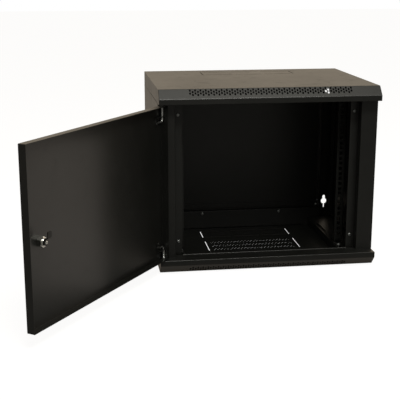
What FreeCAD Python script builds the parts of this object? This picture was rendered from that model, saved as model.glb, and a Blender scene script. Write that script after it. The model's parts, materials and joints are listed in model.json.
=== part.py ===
"""Wall mount network cabinet, 9 rack units high, with its door open.

X runs to the right, Y from the door to the wall, Z up, in millimetres. The origin is the
middle of the cabinet's underside. The door is modelled closed and then swung open on its
hinge pins, so every clearance of the closed door is set in one place.
"""
import FreeCAD, Part
import math
import os

Vec = FreeCAD.Vector

# Overall size
RACK_UNITS = 9
UNIT_HEIGHT = 44.45
WIDTH = 600.0
DEPTH = 450.0
END_HEIGHT = 100.95             # both covers and their ledges, beyond the rack units
HEIGHT = RACK_UNITS * UNIT_HEIGHT + END_HEIGHT

# Sheet thicknesses and general clearances
SHEET = 1.2                     # covers, door, side panels and back panel
POST_SHEET = 1.5                # posts, beams, channels and brackets
RAIL_SHEET = 2.0
SEAM = 0.3                      # gap between sheets that lie edge to edge
CUT_OVERRUN = 1.0               # how far a cutter runs past the sheet it opens

# Straight sides of faceted round forms
LOCK_SIDES = 24
WIRE_SIDES = 16
HEAD_SIDES = 10
SHANK_SIDES = 8

# Top and bottom covers
COVER_HEIGHT = 39.0
CHAMFER_DEPTH = 22.0
CHAMFER_HEIGHT = 24.0
LEDGE_DEPTH = 52.0
LEDGE_LIP = 12.0

# Sloped front vents of the covers
VENT_PITCH = 10.5
VENT_WIDTH = 5.2
VENT_LENGTH = 8.6
VENT_ROWS = 2
VENT_ROW_PITCH = 12.0
VENT_OFFSET = 4.2               # rows nearer to the floor or the top than the slope's middle
VENT_MARGIN = 81.0              # plain sheet at each end of the vent rows

# Floor vents and knock-outs
FLOOR_HOLE = 6.0
FLOOR_PITCH = 23.0
FLOOR_BANDS = 3                 # of two staggered rows each
FLOOR_BAND_PITCH = 32.0
FLOOR_ROW_PITCH = 8.0
FLOOR_VENT_SETBACK = 203.0      # from the front of the cabinet
SLOT_WIDTH = 3.0
KNOCKOUT_HALF = 136.5
FRONT_SLOT_START = 191.5
FRONT_SLOT_LENGTH = 98.0
REAR_SLOT_START = 331.0
REAR_SLOT_LENGTH = 64.0
BRIDGE = 9.0                    # web left between the knock-out slots

# Front posts
POST_SETBACK = 33.0
POST_FACE = 44.3
POST_STEP = 29.0
STRIP_WIDTH = 21.0
POST_RETURN = 30.0
CHANNEL_HEIGHT = 26.0

# Rear posts and wall keyholes
REAR_FACE = 42.8
REAR_RETURN = 30.0
REAR_LIP = 12.0
REAR_INNER = 22.0
KEYHOLE_INSET = 23.0            # from the side of the cabinet
KEYHOLE_HEIGHT = 73.0           # from the underside, and from the top
KEYHOLE_RADIUS = 9.0
KEYHOLE_NECK = 8.4
KEYHOLE_RISE = 19.5
KEYHOLE_TAIL_WIDTH = 3.5
KEYHOLE_TAIL = 21.0

# Cross beams at the back
BEAM_DEPTH = 20.0
BEAM_STEP_HEIGHT = 58.0
BEAM_HEIGHT = 76.0
BEAM_FOOT = 14.0
BEAM_SCREW_X = 124.0
BEAM_SCREW_HEIGHT = 49.0
RIVET_INSET = 5.4               # from the rear post's inner edge
RIVET_RISE = 5.6                # above the beam's step

# 19 inch rails, and the depth channels they are clamped to
RAIL_SETBACK = 133.0
RAIL_HOLE_SPACING = 465.1
RAIL_HOLE_INSET = 11.95         # hole centres from the rail's inner edge
RAIL_FACE = 25.0
RAIL_DEPTH = 32.0
RAIL_HOLE = 9.5
RAIL_HOLE_OFFSETS = (6.35, 22.225, 38.1)
RAIL_TAB = 25.0
TAB_INSET = 2.0                 # foot tab from the rail's inner edge
CHANNEL_SLOT_WIDTH = 8.0
CHANNEL_SLOT_LENGTH = 90.0
CHANNEL_SLOT_STARTS = (95.0, 259.0)
CLAMP_INSET = 9.4               # clamp bolt from the rail's inner edge
CLAMP_FORWARD = 16.0            # clamp bolt ahead of the rail face
CHANNEL_EDGE = 10.0             # channel's inner edge beyond the clamp bolt

# Screws
SCREW_CLEARANCE = 0.25
M5_RADIUS = 2.5
M5_HEAD_RADIUS = 4.6
M5_HEAD_HEIGHT = 2.6
M6_RADIUS = 3.0
M6_HEAD_RADIUS = 6.0
M6_HEAD_HEIGHT = 3.4
HEAD_CHAMFER = 0.4              # share of the head's height
NUT_HEIGHT = 4.0
NUT_RADIUS = 5.2
RAIL_NUT_RADIUS = 6.2
SCREW_END = 1.0                 # screw past its nut
POST_SCREW_HEIGHT = 74.0
RIVET_RADIUS = 2.0
RIVET_HEAD_RADIUS = 3.8
RIVET_HEAD_HEIGHT = 1.3
RIVET_TAPER = 0.6               # head's outer radius against its seat

# Door
DOOR_FACE_SETBACK = 8.2
DOOR_DEPTH = 20.2
DOOR_SIDE_GAP = 2.5
DOOR_LATCH_GAP = 3.0
DOOR_END_GAP = 2.5
OPEN_ANGLE = 125.35

# Hinge pins
HINGE_INSET = 6.9               # pin axis from the door's hinge edge
HINGE_SETBACK = 7.0             # pin axis behind the door's face
PIN_RADIUS = 2.5
PIN_FIT = 0.05
PIN_ENGAGEMENT = 6.0
PIN_TRAVEL = 9.0
PIN_STOP_GAP = 0.3
LOWER_PIN_REACH = 39.0          # ledge face to the middle of the bent foot
UPPER_PIN_REACH = 44.0
PIN_BEND = 8.0
PIN_BEND_STEPS = 3
PIN_FOOT = 19.5
COLLAR_RADIUS = 4.2
COLLAR_HEIGHT = 3.0
SPRING_WIRE = 0.6
SPRING_RADIUS = 3.4
SPRING_TURNS = 5
SPRING_STEPS = 8
SPRING_CLOSED = 12.9            # spring's length when its pin is drawn back
EAR_DEPTH = 12.6
BRACKET_WIDTH = 34.0
BRACKET_FOOT = 20.0
BRACKET_HEIGHT = 22.0
BRACKET_EDGE = 2.0              # bracket past its rivets' field
BUSH_RADIUS = 4.5
BUSH_FLANGE_RADIUS = 6.5
BUSH_FLANGE = 1.5

# Lock
LOCK_INSET = 56.0               # lock axis from the door's free edge
LOCK_DROP = 15.5                # lock axis below the middle of the cabinet
LOCK_FLANGE_RADIUS = 14.0
LOCK_FLANGE = 2.5
BARREL_RADIUS = 9.5
BARREL_DEPTH = 15.5             # barrel behind the door skin
LOCK_NUT_RADIUS = 13.0
LOCK_NUT_HEIGHT = 12.6
CORE_RADIUS = 5.0
KEYWAY_WIDTH = 1.6
KEYWAY_HEIGHT = 7.0
KEYWAY_DEPTH = 3.0
CAM_SHEET = 2.0
CAM_HUB_RADIUS = 7.5
CAM_WIDTH = 14.0
CAM_LENGTH = 26.0
CAM_BEHIND_POST = 1.8           # cam tip behind the post's sheet when locked
CAM_CRANK = 0.5                 # length of the crank against its rise
CAM_SLOT_MARGIN = 1.5

# Levels and planes that follow from the sizes above
FRONT = -DEPTH / 2
BACK = DEPTH / 2
HALF = WIDTH / 2
INSIDE = HALF - SHEET
MIDDLE = HEIGHT / 2
LEDGE = COVER_HEIGHT
POST_FRONT = FRONT + POST_SETBACK
STRIP_FRONT = POST_FRONT + POST_STEP
POST_INNER = INSIDE - POST_FACE
STRIP_INNER = POST_INNER - STRIP_WIDTH
REAR_INNER_X = INSIDE - REAR_FACE
BEAM_FRONT = BACK - BEAM_DEPTH
RAIL_FRONT = FRONT + RAIL_SETBACK
RAIL_INNER = RAIL_HOLE_SPACING / 2 - RAIL_HOLE_INSET
CLAMP_X = RAIL_INNER + CLAMP_INSET
CHANNEL_INNER = CLAMP_X - CHANNEL_EDGE
CLAMP_Y = RAIL_FRONT - CLAMP_FORWARD
DOOR_FACE = FRONT + DOOR_FACE_SETBACK
DOOR_SKIN = DOOR_FACE + SHEET
DOOR_LEFT = -HALF + DOOR_SIDE_GAP
DOOR_RIGHT = HALF - DOOR_LATCH_GAP
DOOR_BOTTOM = COVER_HEIGHT + DOOR_END_GAP
COLLAR_LEVEL = DOOR_BOTTOM + SHEET + PIN_STOP_GAP
SPRING_LOW = COLLAR_LEVEL + COLLAR_HEIGHT + PIN_STOP_GAP
EAR_LOW = SPRING_LOW + SPRING_CLOSED + PIN_TRAVEL + PIN_STOP_GAP
HINGE_X = DOOR_LEFT + HINGE_INSET
HINGE_Y = DOOR_FACE + HINGE_SETBACK
LOCK_X = DOOR_RIGHT - LOCK_INSET
LOCK_Z = MIDDLE - LOCK_DROP
BARREL_END = DOOR_SKIN + BARREL_DEPTH
CAM_TIP = POST_FRONT + POST_SHEET + CAM_BEHIND_POST
POST_SCREW_X = (POST_INNER + STRIP_INNER) / 2
KEYHOLE_X = HALF - KEYHOLE_INSET


def box(x0, x1, y0, y1, z0, z1):
    """Return a block between two corners given axis by axis."""
    low = Vec(min(x0, x1), min(y0, y1), min(z0, z1))
    return Part.makeBox(abs(x1 - x0), abs(y1 - y0), abs(z1 - z0), low)


def rod(radius, start, end):
    """Return a cylinder from one point to another."""
    start, end = Vec(*start), Vec(*end)
    return Part.makeCylinder(radius, (end - start).Length, start, end - start)


def ring(radius, sides, centre, axis):
    """Return a regular polygon about an axis, with its corners at the radius."""
    turns = [2 * math.pi * (i + 0.5) / sides for i in range(sides)]
    corners = [Vec(radius * math.cos(t), radius * math.sin(t), 0) for t in turns]
    wire = Part.makePolygon(corners + corners[:1])
    wire.Placement = FreeCAD.Placement(Vec(*centre), FreeCAD.Rotation(Vec(0, 0, 1), Vec(*axis)))
    return wire


def shaft(radius, start, end, sides, end_radius=None):
    """Return a faceted rod that fits inside its radius, tapered if it is given an end radius."""
    start, end = Vec(*start), Vec(*end)
    low = ring(radius, sides, start, end - start)
    if end_radius is None:
        return Part.Face(low).extrude(end - start)
    return Part.makeLoft([low, ring(end_radius, sides, end, end - start)], True, True)


def bore(radius, start, end, sides):
    """Return the cutter of a faceted hole that a rod of the radius passes through."""
    return shaft(radius / math.cos(math.pi / sides), start, end, sides)


def prism(points, direction):
    """Return a prism on a closed polygon of points."""
    corners = [Vec(*point) for point in points]
    face = Part.Face(Part.makePolygon(corners + corners[:1]))
    return face.extrude(Vec(*direction))


def sheet_outline(line, thickness):
    """Return a folded sheet's cross-section, with its thickness to the left of the line."""
    offset = []
    last = len(line) - 1
    for i, (u, v) in enumerate(line):
        before = line[max(i, 1) - 1], line[max(i, 1)]
        after = line[min(i, last - 1)], line[min(i, last - 1) + 1]
        normals = []
        for (u0, v0), (u1, v1) in (before, after):
            length = math.hypot(u1 - u0, v1 - v0)
            normals.append(((v0 - v1) / length, (u1 - u0) / length))
        (a, b), (c, d) = normals
        share = thickness / (1 + a * c + b * d)
        offset.append((u + (a + c) * share, v + (b + d) * share))
    return list(line) + offset[::-1]


def fold_along_z(line, thickness, z0, z1):
    """Fold a sheet along a line in plan, and extrude it upwards."""
    return prism([(x, y, z0) for x, y in sheet_outline(line, thickness)], (0, 0, z1 - z0))


def fold_along_x(line, thickness, x0, x1):
    """Fold a sheet along a line seen from the side, and extrude it to the right."""
    return prism([(x0, y, z) for y, z in sheet_outline(line, thickness)], (x1 - x0, 0, 0))


def mirror_side(shape):
    """Return the shape's copy on the other side of the cabinet."""
    return shape.mirror(Vec(0, 0, 0), Vec(1, 0, 0))


def mirror_height(shape):
    """Return the shape's copy at the other end of the cabinet's height."""
    return shape.mirror(Vec(0, 0, MIDDLE), Vec(0, 0, 1))


def four_corners(shape):
    """Return the shape with its copies at the other three corners."""
    pair = [shape, mirror_side(shape)]
    return pair + [mirror_height(one) for one in pair]


def opened(shape):
    """Swing a piece of the closed door open about the hinge axis."""
    turned = shape.copy()
    turned.rotate(Vec(HINGE_X, HINGE_Y, 0), Vec(0, 0, 1), -OPEN_ANGLE)
    return turned


def screw(radius, head_radius, head_height, grip, seat, direction):
    """Return a pan head screw whose head sits at seat and whose shank runs along direction."""
    seat, axis = Vec(*seat), Vec(*direction)
    chamfer = head_height * HEAD_CHAMFER
    rim = seat - axis * (head_height - chamfer)
    head = shaft(head_radius, seat, rim, HEAD_SIDES)
    crown = shaft(head_radius, rim, rim - axis * chamfer, HEAD_SIDES, head_radius - chamfer)
    return head.fuse([crown, shaft(radius, seat, seat + axis * grip, SHANK_SIDES)]).removeSplitter()


def rivet(start, seat, direction):
    """Return a rivet from its flush end to its seat, with a domed head beyond along direction."""
    seat = Vec(*seat)
    top = seat + Vec(*direction) * RIVET_HEAD_HEIGHT
    head = shaft(RIVET_HEAD_RADIUS, seat, top, SHANK_SIDES, RIVET_HEAD_RADIUS * RIVET_TAPER)
    return head.fuse(shaft(RIVET_RADIUS, start, seat, SHANK_SIDES))


def nut(radius, height, hole_radius, centre, direction, hole_sides=SHANK_SIDES):
    """Return a hexagonal nut whose near face is at centre."""
    centre, axis = Vec(*centre), Vec(*direction)
    far = centre + axis * height
    return shaft(radius, centre, far, 6).cut(bore(hole_radius, centre, far, hole_sides))


def chamfer_vents():
    """Return the cutters of the staggered vents in the sloped front of the bottom cover."""
    slope = math.atan2(CHAMFER_HEIGHT, CHAMFER_DEPTH)
    columns = int((WIDTH - 2 * VENT_MARGIN) / VENT_PITCH)
    middle = Vec(0, FRONT + CHAMFER_DEPTH / 2, CHAMFER_HEIGHT / 2)
    cutters = []
    for row in range(VENT_ROWS):
        shift = (row - (VENT_ROWS - 1) / 2) * VENT_ROW_PITCH - VENT_OFFSET
        count = columns - row % 2
        for column in range(count):
            x = (column - (count - 1) / 2) * VENT_PITCH
            hole = Part.makeBox(VENT_WIDTH, 4 * SHEET, VENT_LENGTH,
                                Vec(-VENT_WIDTH / 2, -2 * SHEET, -VENT_LENGTH / 2))
            hole.translate(Vec(x, 0, shift))
            hole.rotate(Vec(0, 0, 0), Vec(1, 0, 0), 90 - math.degrees(slope))
            hole.translate(middle)
            cutters.append(hole)
    return cutters


def floor_vents():
    """Return the cutters of the staggered holes in the floor."""
    cutters = []
    columns = int((2 * KNOCKOUT_HALF - 2 * BRIDGE) / FLOOR_PITCH)
    for row in range(2 * FLOOR_BANDS):
        y = FRONT + FLOOR_VENT_SETBACK + row // 2 * FLOOR_BAND_PITCH + row % 2 * FLOOR_ROW_PITCH
        count = columns - row % 2
        for column in range(count):
            x = (column - (count - 1) / 2) * FLOOR_PITCH
            half = FLOOR_HOLE / 2
            cutters.append(box(x - half, x + half, y - half, y + half, -SHEET, 2 * SHEET))
    return cutters


def slot_cutters(start, length):
    """Return the slots along both sides of a knock-out."""
    cutters = []
    for side in (-1, 1):
        x = side * KNOCKOUT_HALF
        y0 = FRONT + start
        cutters.append(box(x - SLOT_WIDTH / 2, x + SLOT_WIDTH / 2, y0, y0 + length, -SHEET, 2 * SHEET))
    return cutters


def cross_slots():
    """Return the slots along the front and back edges of the rear knock-out."""
    cutters = []
    run = (2 * KNOCKOUT_HALF - 4 * BRIDGE) / 3
    for y in (REAR_SLOT_START, REAR_SLOT_START + REAR_SLOT_LENGTH - SLOT_WIDTH):
        for i in (-1, 0, 1):
            x = i * (run + BRIDGE)
            cutters.append(box(x - run / 2, x + run / 2, FRONT + y, FRONT + y + SLOT_WIDTH,
                               -SHEET, 2 * SHEET))
    return cutters


def cover(vented_floor):
    """Return the bottom cover, a pan folded from one sheet with two welded ends."""
    side_view = [(BACK, COVER_HEIGHT), (BACK, 0), (FRONT + CHAMFER_DEPTH, 0), (FRONT, CHAMFER_HEIGHT),
                 (FRONT, LEDGE), (FRONT + LEDGE_DEPTH, LEDGE), (FRONT + LEDGE_DEPTH, LEDGE - LEDGE_LIP)]
    pan = fold_along_x(side_view, -SHEET, -HALF, HALF)
    end = prism([(-HALF, y, z) for y, z in side_view[:-2]], (SHEET, 0, 0))
    pan = pan.fuse([end, mirror_side(end)]).removeSplitter()
    cutters = chamfer_vents() + slot_cutters(REAR_SLOT_START, REAR_SLOT_LENGTH) + cross_slots()
    if vented_floor:
        cutters += floor_vents() + slot_cutters(FRONT_SLOT_START, FRONT_SLOT_LENGTH)
    bush_hole = bore(BUSH_RADIUS, (HINGE_X, HINGE_Y, LEDGE - 2 * SHEET),
                     (HINGE_X, HINGE_Y, LEDGE + SHEET), WIRE_SIDES)
    return pan.cut(cutters + [bush_hole])


def side_panel():
    """Return the right side panel, with folded edges at its top and bottom."""
    low, high = COVER_HEIGHT + SEAM, HEIGHT - COVER_HEIGHT - SEAM
    panel = box(INSIDE, HALF, POST_FRONT, BACK, low, high)
    y0, y1 = POST_FRONT + POST_RETURN + SEAM, BACK - REAR_RETURN - SEAM
    hem = box(INSIDE - REAR_LIP, HALF, y0, y1, low, low + SHEET)
    return panel.fuse([hem, mirror_height(hem)]).removeSplitter()


def front_post():
    """Return the right front post, with its recessed strip reaching down to the channels."""
    plan = [(INSIDE, POST_FRONT + POST_RETURN), (INSIDE, POST_FRONT), (POST_INNER, POST_FRONT),
            (POST_INNER, STRIP_FRONT), (STRIP_INNER, STRIP_FRONT)]
    post = fold_along_z(plan, -POST_SHEET, LEDGE, HEIGHT - LEDGE)
    strip = box(STRIP_INNER, POST_INNER, STRIP_FRONT, STRIP_FRONT + POST_SHEET,
                CHANNEL_HEIGHT, HEIGHT - CHANNEL_HEIGHT)
    post = post.fuse(strip).removeSplitter()
    hole = bore(M5_RADIUS + SCREW_CLEARANCE, (POST_SCREW_X, STRIP_FRONT - CUT_OVERRUN, POST_SCREW_HEIGHT),
                (POST_SCREW_X, STRIP_FRONT + POST_SHEET + CUT_OVERRUN, POST_SCREW_HEIGHT), SHANK_SIDES)
    return post.cut([hole, mirror_height(hole)])


def cam_slot():
    """Return the cutter of the slot that the lock cam swings through in the right front post."""
    tip = math.hypot(CAM_LENGTH, CAM_WIDTH / 2)
    reach = math.sqrt(tip ** 2 - (POST_INNER - LOCK_X) ** 2)
    low = LOCK_Z - CAM_WIDTH / 2 - CAM_SLOT_MARGIN
    high = LOCK_Z + reach + CAM_SLOT_MARGIN
    y0 = POST_FRONT + POST_SHEET
    y1 = CAM_TIP + CAM_SHEET + CAM_SLOT_MARGIN
    return box(POST_INNER - CUT_OVERRUN, POST_INNER + POST_SHEET + CUT_OVERRUN, y0, y1, low, high)


def keyhole():
    """Return the cutter of the lower right wall keyhole."""
    y0, y1 = BACK - 2 * POST_SHEET, BACK + POST_SHEET
    parts = [rod(KEYHOLE_RADIUS, (KEYHOLE_X, y0, KEYHOLE_HEIGHT), (KEYHOLE_X, y1, KEYHOLE_HEIGHT))]
    for half, end in ((KEYHOLE_NECK / 2, KEYHOLE_RISE - KEYHOLE_NECK / 2),
                      (KEYHOLE_TAIL_WIDTH / 2, KEYHOLE_TAIL_WIDTH / 2 - KEYHOLE_TAIL)):
        z = KEYHOLE_HEIGHT + end
        parts.append(box(KEYHOLE_X - half, KEYHOLE_X + half, y0, y1, KEYHOLE_HEIGHT, z))
        parts.append(bore(half, (KEYHOLE_X, y0, z), (KEYHOLE_X, y1, z), SHANK_SIDES))
    return parts[0].fuse(parts[1:]).removeSplitter()


def rear_post():
    """Return the right rear post with its two keyholes, necks up."""
    plan = [(INSIDE - REAR_LIP, BACK - REAR_RETURN), (INSIDE, BACK - REAR_RETURN), (INSIDE, BACK),
            (REAR_INNER_X, BACK), (REAR_INNER_X, BACK - REAR_INNER)]
    post = fold_along_z(plan, POST_SHEET, LEDGE, HEIGHT - LEDGE)
    low = keyhole()
    high = low.copy()
    high.translate(Vec(0, 0, HEIGHT - 2 * KEYHOLE_HEIGHT))
    return post.cut([low, high])


def back_panel():
    """Return the sheet that closes the back between the rear posts."""
    half = REAR_INNER_X - SEAM
    panel = box(-half, half, BACK - SHEET, BACK, COVER_HEIGHT + SEAM, HEIGHT - COVER_HEIGHT - SEAM)
    return panel.cut(four_corners(rivet_hole()))


def rivet_place():
    """Return the lower right rivet's X and Z."""
    return REAR_INNER_X - RIVET_INSET, BEAM_STEP_HEIGHT + RIVET_RISE


def rivet_hole():
    """Return the hole of the lower right back rivet."""
    x, z = rivet_place()
    return bore(RIVET_RADIUS, (x, BEAM_FRONT, z), (x, BACK + CUT_OVERRUN, z), SHANK_SIDES)


def back_beam():
    """Return the lower cross beam, from the floor up to the flange behind the panel's edge."""
    rear = BACK - SHEET
    side_view = [(BEAM_FRONT + BEAM_FOOT, SHEET), (BEAM_FRONT, SHEET), (BEAM_FRONT, BEAM_STEP_HEIGHT),
                 (rear - POST_SHEET, BEAM_STEP_HEIGHT), (rear - POST_SHEET, BEAM_HEIGHT)]
    beam = fold_along_x(side_view, -POST_SHEET, -REAR_INNER_X, REAR_INNER_X)
    hole = bore(M5_RADIUS + SCREW_CLEARANCE, (BEAM_SCREW_X, BEAM_FRONT - CUT_OVERRUN, BEAM_SCREW_HEIGHT),
                (BEAM_SCREW_X, BEAM_FRONT + POST_SHEET + CUT_OVERRUN, BEAM_SCREW_HEIGHT), SHANK_SIDES)
    return beam.cut([hole, mirror_side(hole), rivet_hole(), mirror_side(rivet_hole())])


def depth_channel():
    """Return the lower right channel, with the slots that the rails clamp to."""
    front_view = [(INSIDE, SHEET), (INSIDE, CHANNEL_HEIGHT), (CHANNEL_INNER, CHANNEL_HEIGHT),
                  (CHANNEL_INNER, SHEET)]
    outline = [(x, FRONT + LEDGE_DEPTH, z) for x, z in sheet_outline(front_view, POST_SHEET)]
    channel = prism(outline, (0, BEAM_FRONT - FRONT - LEDGE_DEPTH, 0))
    cutters = []
    for start in CHANNEL_SLOT_STARTS:
        y0 = FRONT + start
        y1 = y0 + CHANNEL_SLOT_LENGTH
        half = CHANNEL_SLOT_WIDTH / 2
        z0, z1 = CHANNEL_HEIGHT - 2 * POST_SHEET, CHANNEL_HEIGHT + CUT_OVERRUN
        cutters.append(box(CLAMP_X - half, CLAMP_X + half, y0 + half, y1 - half, z0, z1))
        for y in (y0 + half, y1 - half):
            cutters.append(bore(half, (CLAMP_X, y, z0), (CLAMP_X, y, z1), SHANK_SIDES))
    return channel.cut(cutters)


def rail():
    """Return the right 19 inch rail with its square holes and bent feet."""
    outer = RAIL_INNER + RAIL_FACE
    plan = [(RAIL_INNER, RAIL_FRONT), (outer, RAIL_FRONT), (outer, RAIL_FRONT + RAIL_DEPTH)]
    body = fold_along_z(plan, RAIL_SHEET, CHANNEL_HEIGHT, HEIGHT - CHANNEL_HEIGHT)
    tab = box(RAIL_INNER + TAB_INSET, outer, RAIL_FRONT - RAIL_TAB, RAIL_FRONT + RAIL_SHEET,
              CHANNEL_HEIGHT, CHANNEL_HEIGHT + RAIL_SHEET)
    tab = tab.cut(bore(M6_RADIUS + SCREW_CLEARANCE, (CLAMP_X, CLAMP_Y, CHANNEL_HEIGHT - CUT_OVERRUN),
                       (CLAMP_X, CLAMP_Y, CHANNEL_HEIGHT + RAIL_SHEET + CUT_OVERRUN), SHANK_SIDES))
    body = body.fuse([tab, mirror_height(tab)]).removeSplitter()
    first = MIDDLE - RACK_UNITS * UNIT_HEIGHT / 2
    half = RAIL_HOLE / 2
    x = RAIL_HOLE_SPACING / 2
    cutters = []
    for unit in range(RACK_UNITS):
        for offset in RAIL_HOLE_OFFSETS:
            z = first + unit * UNIT_HEIGHT + offset
            cutters.append(box(x - half, x + half, RAIL_FRONT - CUT_OVERRUN,
                               RAIL_FRONT + RAIL_SHEET + CUT_OVERRUN, z - half, z + half))
    return body.cut(cutters)


def post_screws():
    """Return the four screws of the recessed strips."""
    one = screw(M5_RADIUS, M5_HEAD_RADIUS, M5_HEAD_HEIGHT, POST_SHEET + NUT_HEIGHT + SCREW_END,
                (POST_SCREW_X, STRIP_FRONT, POST_SCREW_HEIGHT), (0, 1, 0))
    return four_corners(one)


def post_nuts():
    """Return the nuts behind the recessed strips."""
    one = nut(NUT_RADIUS, NUT_HEIGHT, M5_RADIUS,
              (POST_SCREW_X, STRIP_FRONT + POST_SHEET, POST_SCREW_HEIGHT), (0, 1, 0))
    return four_corners(one)


def beam_screws():
    """Return the screws of both cross beams."""
    one = screw(M5_RADIUS, M5_HEAD_RADIUS, M5_HEAD_HEIGHT, POST_SHEET + NUT_HEIGHT + SCREW_END,
                (BEAM_SCREW_X, BEAM_FRONT, BEAM_SCREW_HEIGHT), (0, 1, 0))
    return four_corners(one)


def beam_nuts():
    """Return the nuts behind both cross beams."""
    one = nut(NUT_RADIUS, NUT_HEIGHT, M5_RADIUS,
              (BEAM_SCREW_X, BEAM_FRONT + POST_SHEET, BEAM_SCREW_HEIGHT), (0, 1, 0))
    return four_corners(one)


def back_rivets():
    """Return the rivets that hold the back panel to the beams, flush behind."""
    x, z = rivet_place()
    return four_corners(rivet((x, BACK, z), (x, BACK - SHEET - POST_SHEET, z), (0, -1, 0)))


def rail_bolts():
    """Return the bolts that clamp the rail feet to the channels."""
    grip = RAIL_SHEET + POST_SHEET + NUT_HEIGHT + SCREW_END
    one = screw(M6_RADIUS, M6_HEAD_RADIUS, M6_HEAD_HEIGHT, grip,
                (CLAMP_X, CLAMP_Y, CHANNEL_HEIGHT + RAIL_SHEET), (0, 0, -1))
    return four_corners(one)


def rail_nuts():
    """Return the nuts under the channels."""
    one = nut(RAIL_NUT_RADIUS, NUT_HEIGHT, M6_RADIUS,
              (CLAMP_X, CLAMP_Y, CHANNEL_HEIGHT - POST_SHEET), (0, 0, -1))
    return four_corners(one)


def hinge_bush():
    """Return the lower bush, a flanged sleeve in the ledge."""
    low = (HINGE_X, HINGE_Y, LEDGE - PIN_ENGAGEMENT)
    middle = (HINGE_X, HINGE_Y, LEDGE)
    high = (HINGE_X, HINGE_Y, LEDGE + BUSH_FLANGE)
    sleeve = shaft(BUSH_RADIUS, low, middle, WIRE_SIDES)
    flange = shaft(BUSH_FLANGE_RADIUS, middle, high, WIRE_SIDES)
    return sleeve.fuse(flange).cut(rod(PIN_RADIUS + PIN_FIT, low, high))


def door_shell():
    """Return the closed door: a tray with a folded edge on each side."""
    top = HEIGHT - DOOR_BOTTOM
    rear = DOOR_FACE + DOOR_DEPTH
    tray = box(DOOR_LEFT, DOOR_RIGHT, DOOR_FACE, rear, DOOR_BOTTOM, top)
    hollow = box(DOOR_LEFT + SHEET, DOOR_RIGHT - SHEET, DOOR_SKIN, rear + CUT_OVERRUN,
                 DOOR_BOTTOM + SHEET, top - SHEET)
    pin_hole = bore(PIN_RADIUS + PIN_FIT, (HINGE_X, HINGE_Y, DOOR_BOTTOM - CUT_OVERRUN),
                    (HINGE_X, HINGE_Y, DOOR_BOTTOM + SHEET + CUT_OVERRUN), WIRE_SIDES)
    lock_hole = bore(BARREL_RADIUS, (LOCK_X, DOOR_FACE - CUT_OVERRUN, LOCK_Z),
                     (LOCK_X, DOOR_SKIN + CUT_OVERRUN, LOCK_Z), LOCK_SIDES)
    cutters = [hollow, pin_hole, mirror_height(pin_hole), lock_hole]
    for hole in bracket_rivet_holes():
        cutters += [hole, mirror_height(hole)]
    return tray.cut(cutters)


def bracket_rivet_places():
    """Return X and Z of the lower bracket's rivets."""
    x = DOOR_LEFT + SHEET + BRACKET_WIDTH - BRACKET_FOOT / 2
    z = EAR_LOW + 2 * POST_SHEET + BRACKET_HEIGHT / 2
    step = BRACKET_HEIGHT / 4
    return [(x, z - step), (x, z + step)]


def bracket_rivet_holes():
    """Return the holes of the lower bracket's rivets, through the skin and the bracket."""
    return [bore(RIVET_RADIUS, (x, DOOR_FACE - CUT_OVERRUN, z),
                 (x, DOOR_SKIN + POST_SHEET + CUT_OVERRUN, z), SHANK_SIDES)
            for x, z in bracket_rivet_places()]


def hinge_bracket():
    """Return the lower bracket, whose ear guides the pin and carries the spring."""
    left = DOOR_LEFT + SHEET
    right = left + BRACKET_WIDTH
    ear = box(left, right, DOOR_SKIN, DOOR_SKIN + EAR_DEPTH, EAR_LOW, EAR_LOW + POST_SHEET)
    foot = box(right - BRACKET_FOOT, right, DOOR_SKIN, DOOR_SKIN + POST_SHEET,
               EAR_LOW, EAR_LOW + POST_SHEET + BRACKET_HEIGHT + BRACKET_EDGE)
    pin_hole = bore(PIN_RADIUS + PIN_FIT, (HINGE_X, HINGE_Y, EAR_LOW - CUT_OVERRUN),
                    (HINGE_X, HINGE_Y, EAR_LOW + POST_SHEET + CUT_OVERRUN), WIRE_SIDES)
    return ear.fuse(foot).cut([pin_hole] + bracket_rivet_holes())


def hinge_rivets():
    """Return the rivets of both hinge brackets, flush outside."""
    rivets = []
    for x, z in bracket_rivet_places():
        one = rivet((x, DOOR_FACE, z), (x, DOOR_SKIN + POST_SHEET, z), (0, 1, 0))
        rivets += [one, mirror_height(one)]
    return rivets


def hinge_pin(reach):
    """Return a lower pin: a wire bent into a foot, with the collar that its spring pushes on."""
    foot_level = LEDGE + reach
    turn = foot_level - PIN_BEND
    sections = [ring(PIN_RADIUS, WIRE_SIDES, (HINGE_X, HINGE_Y, LEDGE - PIN_ENGAGEMENT), (0, 0, 1))]
    for i in range(PIN_BEND_STEPS + 1):
        angle = math.pi / 2 * i / PIN_BEND_STEPS
        sections.append(ring(PIN_RADIUS, WIRE_SIDES, (HINGE_X + PIN_BEND * (1 - math.cos(angle)), HINGE_Y,
                                                      turn + PIN_BEND * math.sin(angle)),
                             (math.sin(angle), 0, math.cos(angle))))
    sections.append(ring(PIN_RADIUS, WIRE_SIDES, (HINGE_X + PIN_FOOT, HINGE_Y, foot_level), (1, 0, 0)))
    wire = Part.makeLoft(sections, True, True)
    collar = shaft(COLLAR_RADIUS, (HINGE_X, HINGE_Y, COLLAR_LEVEL),
                   (HINGE_X, HINGE_Y, COLLAR_LEVEL + COLLAR_HEIGHT), WIRE_SIDES)
    return wire.fuse(collar).removeSplitter()


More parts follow.
